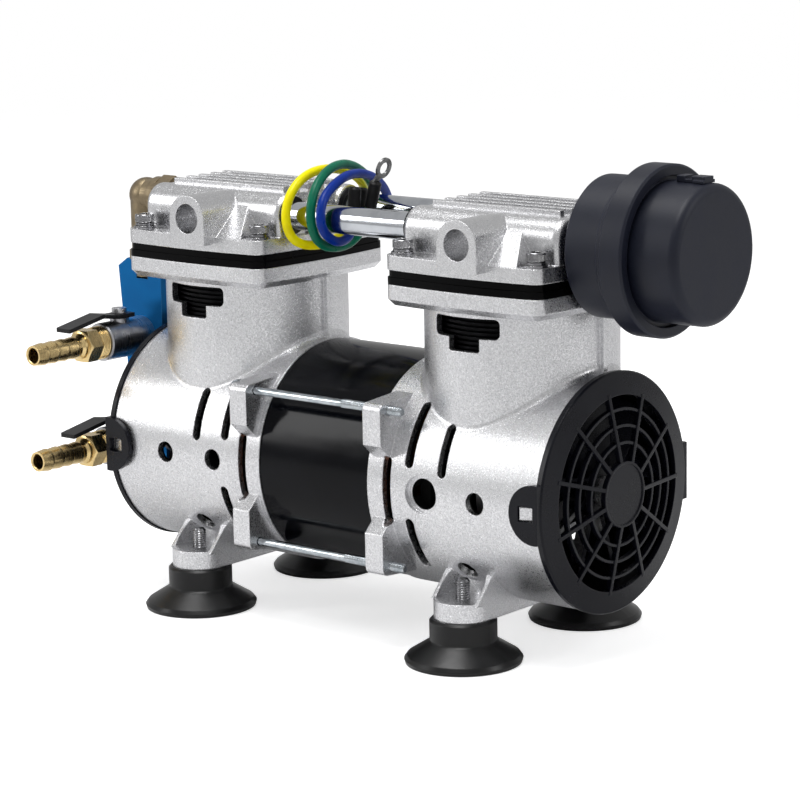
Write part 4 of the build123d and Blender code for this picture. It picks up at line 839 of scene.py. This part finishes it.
@dataclass
class Leads(Assembly):
    """The three motor leads, their shrunk sleeves and the ring terminal."""

    radius: float = 2.0 * MM
    order: int = 3
    steps: int = 12
    roundness: int = 5
    lengths: dict[str, float] = field(default_factory=lambda: {
        "yellow": 0.286, "green": 0.295, "blue": 0.270})
    routes: dict[str, list[Place]] = field(default_factory=lambda: {
        "yellow": [
            (-61.1, 50.5, 69.8), (-61.1, 60.0, 69.8), (-66.8, 68.5, 77.5),
            (-75.2, 69.5, 89.0), (-82.0, 61.0, 104.0), (-83.5, 51.0, 121.0),
            (-77.0, 49.0, 147.5), (-67.0, 49.5, 162.0), (-54.0, 46.0, 170.5),
            (-43.0, 38.5, 176.5), (-35.5, 27.5, 182.5), (-31.5, 14.0, 188.5),
            (-30.0, -1.5, 191.3), (-29.4, -16.5, 189.8), (-29.0, -27.3, 182.0),
            (-28.6, -30.6, 171.0), (-27.0, -26.0, 161.5), (-22.5, -14.5, 159.7),
            (-18.5, -2.0, 164.0), (-16.6, 3.8, 172.0), (-15.9, 4.8, 180.5)],
        "green": [
            (-58.7, 50.5, 65.6), (-58.7, 60.0, 65.6), (-61.0, 70.5, 72.5),
            (-67.0, 70.5, 85.5), (-75.0, 61.0, 100.5), (-77.5, 51.0, 117.0),
            (-70.5, 49.0, 144.0), (-60.5, 49.5, 157.0), (-49.0, 46.0, 166.0),
            (-38.5, 40.0, 173.5), (-30.5, 29.5, 180.5), (-25.0, 16.5, 188.5),
            (-21.5, 1.5, 193.8), (-18.0, -14.0, 193.0), (-15.0, -27.0, 185.5),
            (-13.6, -31.5, 173.5), (-13.2, -27.5, 163.0), (-13.2, -15.5, 159.2),
            (-11.6, -4.5, 161.6), (-8.3, 0.5, 172.5), (-4.7, 0.4, 184.5)],
        "blue": [
            (-56.3, 50.5, 69.8), (-56.3, 60.0, 69.8), (-58.5, 69.0, 77.5),
            (-64.0, 65.0, 89.0), (-71.5, 55.0, 101.0), (-73.0, 47.0, 117.0),
            (-65.5, 48.0, 142.5), (-56.0, 48.5, 152.5), (-44.0, 47.0, 160.3),
            (-33.0, 42.0, 166.5), (-24.5, 33.5, 173.5), (-19.5, 22.5, 183.0),
            (-16.5, 9.0, 188.8), (-14.3, -5.5, 190.0), (-11.7, -19.5, 186.2),
            (-9.5, -28.8, 180.0), (-8.6, -30.2, 169.3), (-8.1, -20.5, 162.2),
            (-9.4, -9.8, 164.4), (-11.8, -5.4, 173.0), (-11.3, -4.9, 182.0)]})

    def build(self) -> None:
        """Dresses the sleeves and the ring terminal, then makes the cords."""
        self.dress("shrink_black", "lead_sleeves")
        self.dress("tinned_copper", "ring_terminal")
        for name, points in self.routes.items():
            cord = self.cord(name, points)

    def cord(self, name: str, points: list[Place]) -> Piece:
        """One lead as a smooth curve with a round section.

        Args:
            name: Its colour.
            points: Its control points in millimetres.

        Returns:
            The curve.
        """
        data = bpy.data.curves.new(name + "_wire", "CURVE")
        data.dimensions = "3D"
        spline = data.splines.new("NURBS")
        spline.points.add(len(points) - 1)
        for point, place in zip(spline.points, points):
            point.co = (*(c * MM for c in place), 1.0)
        spline.order_u = self.order
        spline.use_endpoint_u = True
        spline.resolution_u = self.steps
        data.bevel_depth = self.radius
        data.bevel_resolution = self.roundness
        data.use_fill_caps = True
        return self.add(stand(name + "_wire", data), "wire_" + name, name + "_lead")


class Lathe:
    """Turned and cut pieces, made with the edit-mode tools and set down where they belong."""

    @staticmethod
    def pick(*pieces: Piece) -> None:
        """Selects these pieces alone and makes the first one active."""
        bpy.ops.object.select_all(action="DESELECT")
        for piece in pieces:
            piece.select_set(True)
        bpy.context.view_layer.objects.active = pieces[0]

    @staticmethod
    def turn(name: str, profile: Sequence[Ring], segments: int = 48, spin: float = 0.0) -> Piece:
        """Turns a profile about Z.

        Args:
            name: The piece's name.
            profile: Radius and height of each ring, in millimetres, from the bottom up.
            segments: Faces round the piece.
            spin: How far the first corner is turned about Z, in radians.

        Returns:
            A closed mesh object.
        """
        bpy.ops.object.select_all(action="DESELECT")
        radius, height = profile[0]
        bpy.ops.mesh.primitive_circle_add(vertices=segments, radius=radius * MM,
                                          fill_type="NOTHING")
        piece = bpy.context.object
        piece.name = name
        bpy.ops.object.mode_set(mode="EDIT")
        bpy.ops.mesh.select_mode(type="VERT")
        bpy.ops.mesh.select_all(action="SELECT")
        bpy.ops.transform.translate(value=(0, 0, height * MM))
        for (r0, h0), (r1, h1) in zip(profile, profile[1:]):
            rise = (0, 0, (h1 - h0) * MM)
            bpy.ops.mesh.extrude_region_move(TRANSFORM_OT_translate={"value": rise})
            share = r1 / r0
            bpy.ops.transform.resize(value=(share, share, 1), center_override=(0, 0, 0))
        bpy.ops.mesh.select_all(action="SELECT")
        if profile[0] == profile[-1]:
            bpy.ops.mesh.remove_doubles(threshold=WELD)
        else:
            bpy.ops.mesh.fill_holes(sides=0)
        bpy.ops.mesh.normals_make_consistent(inside=False)
        bpy.ops.object.mode_set(mode="OBJECT")
        piece.data.transform(Matrix.Rotation(spin, 4, "Z"))
        return piece

    @staticmethod
    def cut(piece: Piece, tool: Piece, operation: str = "DIFFERENCE") -> None:
        """Cuts one piece with another.

        Args:
            piece: The piece that changes.
            tool: The piece that cuts it and is used up.
            operation: DIFFERENCE takes the tool's room away, INTERSECT keeps only that room.
        """
        Lathe.pick(piece)
        change = piece.modifiers.new("cut", "BOOLEAN")
        change.operation = operation
        change.object = tool
        change.solver = "EXACT"
        bpy.ops.object.modifier_apply(modifier=change.name)
        bpy.data.objects.remove(tool, do_unlink=True)

    @staticmethod
    def flute(piece: Piece, low: float, high: float, depth: float) -> None:
        """Sinks every second side face between two heights, as knurling does.

        Args:
            piece: A turned piece that stands along Z.
            low: Lower height in millimetres.
            high: Upper height in millimetres.
            depth: How deep the flutes are, in millimetres.
        """
        Lathe.pick(piece)
        bpy.ops.object.mode_set(mode="EDIT")
        bpy.ops.mesh.select_mode(type="FACE")
        bpy.ops.mesh.select_all(action="DESELECT")
        bpy.ops.object.mode_set(mode="OBJECT")
        side = [face for face in piece.data.polygons
                if low * MM < face.center.z < high * MM and abs(face.normal.z) < UPRIGHT]
        first = max(range(len(side)), key=lambda i: side[i].normal.dot(FIRST_FLUTE))
        for i, face in enumerate(side):
            face.select = i % 2 == first % 2
        bpy.ops.object.mode_set(mode="EDIT")
        bpy.ops.mesh.inset(thickness=FLUTE_EDGE, depth=-depth * MM, use_individual=True)
        bpy.ops.object.mode_set(mode="OBJECT")

    @staticmethod
    def join(name: str, pieces: Sequence[Piece]) -> Piece:
        """Joins pieces into one and shades its blunt edges smooth.

        Args:
            name: The joined piece's name.
            pieces: The pieces, of which the first one stays.

        Returns:
            The joined piece.
        """
        Lathe.pick(*pieces)
        if len(pieces) > 1:
            bpy.ops.object.join()
        joined = bpy.context.view_layer.objects.active
        joined.name = name
        joined.data.name = name
        bpy.ops.object.shade_smooth_by_angle(angle=SMOOTH_UP_TO)
        return joined

    @staticmethod
    def copies(name: str, model: Piece, places: Sequence[Place], axis: Axis = Axis.UP) -> Piece:
        """Sets copies of a model down and joins them.

        Args:
            name: The joined piece's name.
            model: The modelled piece, which is used up.
            places: Where each copy's origin goes, in millimetres.
            axis: Where the model's +Z points.

        Returns:
            One object at the origin, with the places in its mesh.
        """
        made = []
        turn = Matrix.Rotation(axis.value[1], 4, "Y") @ Matrix.Rotation(axis.value[0], 4, "X")
        for place in places:
            made.append(stand(name, model.data.copy()))
            made[-1].data.transform(Matrix.Translation(Vector(place) * MM) @ turn)
        bpy.data.objects.remove(model, do_unlink=True)
        return Lathe.join(name, made)


def thread(radius: float, pitch: float, start: float, end: float, depth: float) -> list[Ring]:
    """The profile of a thread from one height to another, as close rings.

    Args:
        radius: Radius of the crests, in millimetres.
        pitch: Nearly the distance from ring to ring.
        start: Where the thread begins.
        end: Where it ends.
        depth: How deep its roots are.

    Returns:
        Radius and height of each corner, from the start up.
    """
    count = max(1, round((end - start) / pitch))
    step = (end - start) / count
    rings = []
    for i in range(count):
        low = start + i * step
        rings += [(radius - depth, low), (radius - depth, low + ROOT_END * step),
                  (radius, low + CREST_FROM * step), (radius, low + CREST_TO * step)]
    return rings + [(radius - depth, end)]


@dataclass
class Castings(Assembly):
    """The two crankcase castings, their seals and the cylinder sleeves in their windows."""

    def build(self) -> None:
        """Dresses the castings."""
        self.dress("cast_aluminium", "left_crankcase", "right_crankcase")
        self.dress("sleeve_aluminium", "left_cylinder_sleeve", "right_cylinder_sleeve")
        self.dress("seal_black", "head_seals", "valve_plates")
        self.dress("valve_steel", "reed_valves")
        self.dress("black_rubber", "lead_grommet")


@dataclass
class Heads(Assembly):
    """The two finned heads with their bolts, washers and transfer tubes."""

    bolt_x: float = 34.0
    bolt_y: float = 34.5
    seat: float = 164.8
    shank_r: float = 2.5
    grip: float = 20.1
    head_r: float = 4.25
    head_h: float = 5.0
    washer_r: float = 4.1
    washer_h: float = 1.15
    washer_edge: float = 0.15
    clearance: float = 0.25
    key: float = 2.3
    key_depth: float = 2.4
    faces: int = 72
    flute_depth: float = 0.26

    def build(self) -> None:
        """Dresses the heads and makes their bolts."""
        self.dress("head_aluminium", "left_head", "right_head")
        self.dress("bright_steel", "head_washers")
        self.add(self.bolts(), "bright_steel", "head_bolts")
        self.dress("tube_chrome", "front_transfer_tube", "rear_transfer_tube")
        self.dress("black_rubber", "tube_rings")

    def corners(self, height: float) -> list[Place]:
        """The eight bolt places at one height, in millimetres."""
        return [(side * CYLINDER_X / MM + x * self.bolt_x, y * self.bolt_y, height)
                for side in (-1, 1) for x in (-1, 1) for y in (-1, 1)]

    def bolts(self) -> Piece:
        """Eight knurled socket-head bolts, each on its spring washer.

        Returns:
            All eight as one piece.
        """
        r, h, w, e = self.head_r, self.head_h, self.washer_r, self.washer_edge
        gap = self.washer_h + self.clearance
        profile = [
            (self.shank_r, -self.grip), (self.shank_r, 0.0), (w - e, 0.0), (w, e),
            (w, self.washer_h - e), (w - e, self.washer_h), (w - 0.9, self.washer_h),
            (w - 0.9, gap), (r - 0.3, gap), (r, gap + 0.3), (r, gap + 0.45), (r, h - 0.8),
            (r, h - 0.55), (r - 0.12, h - 0.25), (r - 0.45, h), (0.3, h)]
        bolt = Lathe.turn("head_bolt", profile, self.faces)
        Lathe.flute(bolt, gap + 0.5, h - 0.85, self.flute_depth)
        corner = self.key * 1.12
        Lathe.cut(bolt, Lathe.turn("key", [(corner, h - self.key_depth), (corner, h + 1.0)], 6))
        return Lathe.copies("head_bolt_set", bolt, self.corners(self.seat))


@dataclass
class Motor(Assembly):
    """The motor between the castings, with its tie rods."""

    rod_y: float = 47.1036
    rod_up: float = 32.7501
    rod_r: float = 1.75
    thread_r: float = 2.0
    thread_long: float = 32.0
    pitch: float = 0.8
    thread_depth: float = 0.24
    recess: Place = (4.4, 0.9, 2.8)
    rod_from: float = -41.8
    rod_to: float = 48.4
    head_r: float = 3.9
    head_h: float = 3.0

    def build(self) -> None:
        """Dresses the motor and makes its tie rods."""
        self.dress("motor_black", "stator_shell")
        self.dress("core_steel", "stator_core", "rotor")
        self.dress("copper_wire", "stator_windings")
        self.add(self.rods(), "zinc_plate", "tie_rods")
        self.dress("valve_steel", "motor_shaft", "bearing_outer_races", "bearing_inner_races",
                   "bearing_balls")
        self.dress("black_plastic", "left_fan_cover", "right_fan_cover", "cooling_fans")

    def rods(self) -> Piece:
        """Four long screws with a cross recess and a rolled thread.

        Returns:
            All four as one piece.
        """
        start, end, r = self.rod_from, self.rod_to, self.head_r
        profile = [
            (0.3, start - self.head_h), (r * 0.55, start - self.head_h),
            (r * 0.85, start - self.head_h * 0.85), (r, start - self.head_h * 0.45),
            (r, start - 0.1), (r - 0.1, start), (self.rod_r, start)]
        profile += [(self.rod_r, end - self.thread_long - 0.4)]
        profile += thread(self.thread_r, self.pitch, end - self.thread_long, end - 0.6,
                          self.thread_depth)
        profile += [(self.thread_r - 0.6, end), (0.3, end)]
        rod = Lathe.turn("tie_rod", profile, 28)
        for turn in (0.0, math.pi / 2):
            bpy.ops.object.select_all(action="DESELECT")
            bpy.ops.mesh.primitive_cube_add(size=1.0)
            slot = bpy.context.object
            place = Matrix.Translation((0, 0, (start - self.head_h) * MM))
            size = Matrix.Diagonal((*(s * MM for s in self.recess), 1.0))
            slot.data.transform(place @ Matrix.Rotation(turn, 4, "Z") @ size)
            Lathe.cut(rod, slot)
        places = [(0.0, y * self.rod_y, AXIS_Z / MM + z * self.rod_up)
                  for y in (-1, 1) for z in (-1, 1)]
        return Lathe.copies("tie_rod_set", rod, places, Axis.RIGHT)


@dataclass
class Crank(Assembly):
    """Eccentrics, rods and pistons."""

    def build(self) -> None:
        """Dresses the crank train."""
        self.dress("crank_iron", "eccentrics")
        for side in ("left", "right"):
            self.dress("rod_aluminium", side + "_connecting_rod")
            self.dress("valve_steel", side + "_rod_bearing")
            self.dress("cup_seal", side + "_piston_cup")
            self.dress("bright_steel", side + "_cup_retainer")


@dataclass
class Filter(Assembly):
    """The intake filter on the right head."""

    def build(self) -> None:
        """Dresses the filter."""
        self.dress("filter_plastic", "filter_base", "filter_cap", "filter_catch")
        self.dress("foam", "filter_element")
        self.dress("brass_dark", "intake_nipple")


@dataclass
class Outlet(Assembly):
    """The elbow, the blue manifold, the two ball valves and the hose barbs."""

    valve_x: float = -142.0
    valve_y: float = -31.5
    heights: dict[str, float] = field(default_factory=lambda: {"upper": 108.7, "lower": 61.0})
    spigot_r: float = 6.3
    spigot_from: float = -6.0
    collar_r: float = 7.5
    collar_end: float = 4.9
    pitch: float = 0.95
    thread_depth: float = 0.45
    neck_r: float = 6.6
    hex_from: float = 5.0
    hex_end: float = 12.5
    hex_flats: float = 14.0
    hex_chamfer: float = 0.9
    hex_hole_r: float = 4.4
    shoulder_r: float = 5.6
    root_from: float = 16.7
    tip: float = 41.1
    root_r: float = 4.5
    crest_r: float = 5.0
    bore_r: float = 3.3
    barbs: int = 4

    def build(self) -> None:
        """Dresses the outlet side and turns the hose barbs."""
        self.dress("brass_dark", "outlet_elbow", "outlet_nipple")
        self.dress("blue_anodised", "manifold_block")
        for name in ("upper", "lower"):
            self.dress("nickel", name + "_valve_body", name + "_valve_ball")
            self.dress("lever_black", name + "_valve_lever")
            self.add(self.barb(name), "brass_bright", name + "_hose_barb")

    def barb(self, name: str) -> Piece:
        """One hose barb: a threaded collar, a hexagon and four low barbs.

        Args:
            name: The valve that it belongs to.

        Returns:
            The barb, with its bore.
        """
        tip, end, neck = self.tip, self.hex_end, self.neck_r
        body = [(self.bore_r, self.spigot_from), (self.spigot_r, self.spigot_from),
                (self.spigot_r, 0.0), (self.collar_r - 0.5, 0.0)]
        body += thread(self.collar_r, self.pitch, 0.1, self.collar_end - 0.2, self.thread_depth)
        body += [(neck, self.collar_end + 0.1), (neck, self.hex_from + 0.2),
                 (self.shoulder_r, end + 1.4), (self.root_r, end + 2.6),
                 (self.root_r, self.root_from)]
        pitch = (tip - self.root_from) / self.barbs
        for i in range(self.barbs):
            low = self.root_from + i * pitch
            body += [(self.crest_r - 0.06, low + 0.2), (self.crest_r, low + 0.4),
                     (self.crest_r, low + 1.5), (self.root_r + 0.02, low + pitch - 0.02)]
        body[-1] = (self.root_r - 0.1, tip)
        body += [(self.bore_r + 0.3, tip), (self.bore_r, tip - 0.4),
                 (self.bore_r, self.spigot_from)]
        turned = Lathe.turn(name + "_tail", body, 56)
        corner = self.hex_flats / math.sqrt(3)
        six = Lathe.turn("six", [(corner, self.hex_from), (corner, end)], 6, math.pi / 6)
        low, high = self.hex_from - 0.01, end + 0.01
        cone = Lathe.turn("cone", [
            (corner - 1.5, low), (corner + 0.1, low + self.hex_chamfer),
            (corner + 0.1, high - self.hex_chamfer), (corner - 1.5, high)], 64)
        Lathe.cut(six, cone, "INTERSECT")
        hole_r = self.hex_hole_r
        Lathe.cut(six, Lathe.turn("hole", [(hole_r, self.hex_from - 1), (hole_r, end + 1)], 32))
        both = Lathe.join(name + "_barb_model", [turned, six])
        place = (self.valve_x, self.valve_y, self.heights[name])
        return Lathe.copies(name + "_barb_turned", both, [place], Axis.FRONT)


@dataclass
class Feet(Assembly):
    """The four suction feet and their studs."""

    foot_x: float = 74.0
    foot_y: float = 41.5
    stud_r: float = 3.0
    stud_from: float = 7.7
    stud_to: float = 34.5
    pitch: float = 1.0
    thread_depth: float = 0.34

    def build(self) -> None:
        """Dresses the feet and makes their threaded studs."""
        self.dress("black_rubber", "suction_feet")
        profile = [(0.3, self.stud_from), (self.stud_r - 0.35, self.stud_from)]
        profile += thread(self.stud_r, self.pitch, self.stud_from + 0.1, self.stud_to - 0.7,
                          self.thread_depth)
        profile += [(self.stud_r - 0.8, self.stud_to), (0.3, self.stud_to)]
        stud = Lathe.turn("stud", profile, 32)
        places = [(x * self.foot_x, y * self.foot_y, 0.0) for x in (-1, 1) for y in (-1, 1)]
        self.add(Lathe.copies("foot_stud_set", stud, places), "bright_steel", "foot_studs")


def main() -> None:
    """Builds every group in order."""
    logging.basicConfig(level=logging.INFO, format="%(name)s: %(message)s")
    Studio().build()
    groups: list[Assembly] = [
        Leads(), Castings(), Heads(), Motor(), Crank(), Filter(), Outlet(), Feet()]
    for group in groups:
        group.build()
        LOG.info("finished %s", type(group).__name__)


if __name__ == "__main__":
    main()
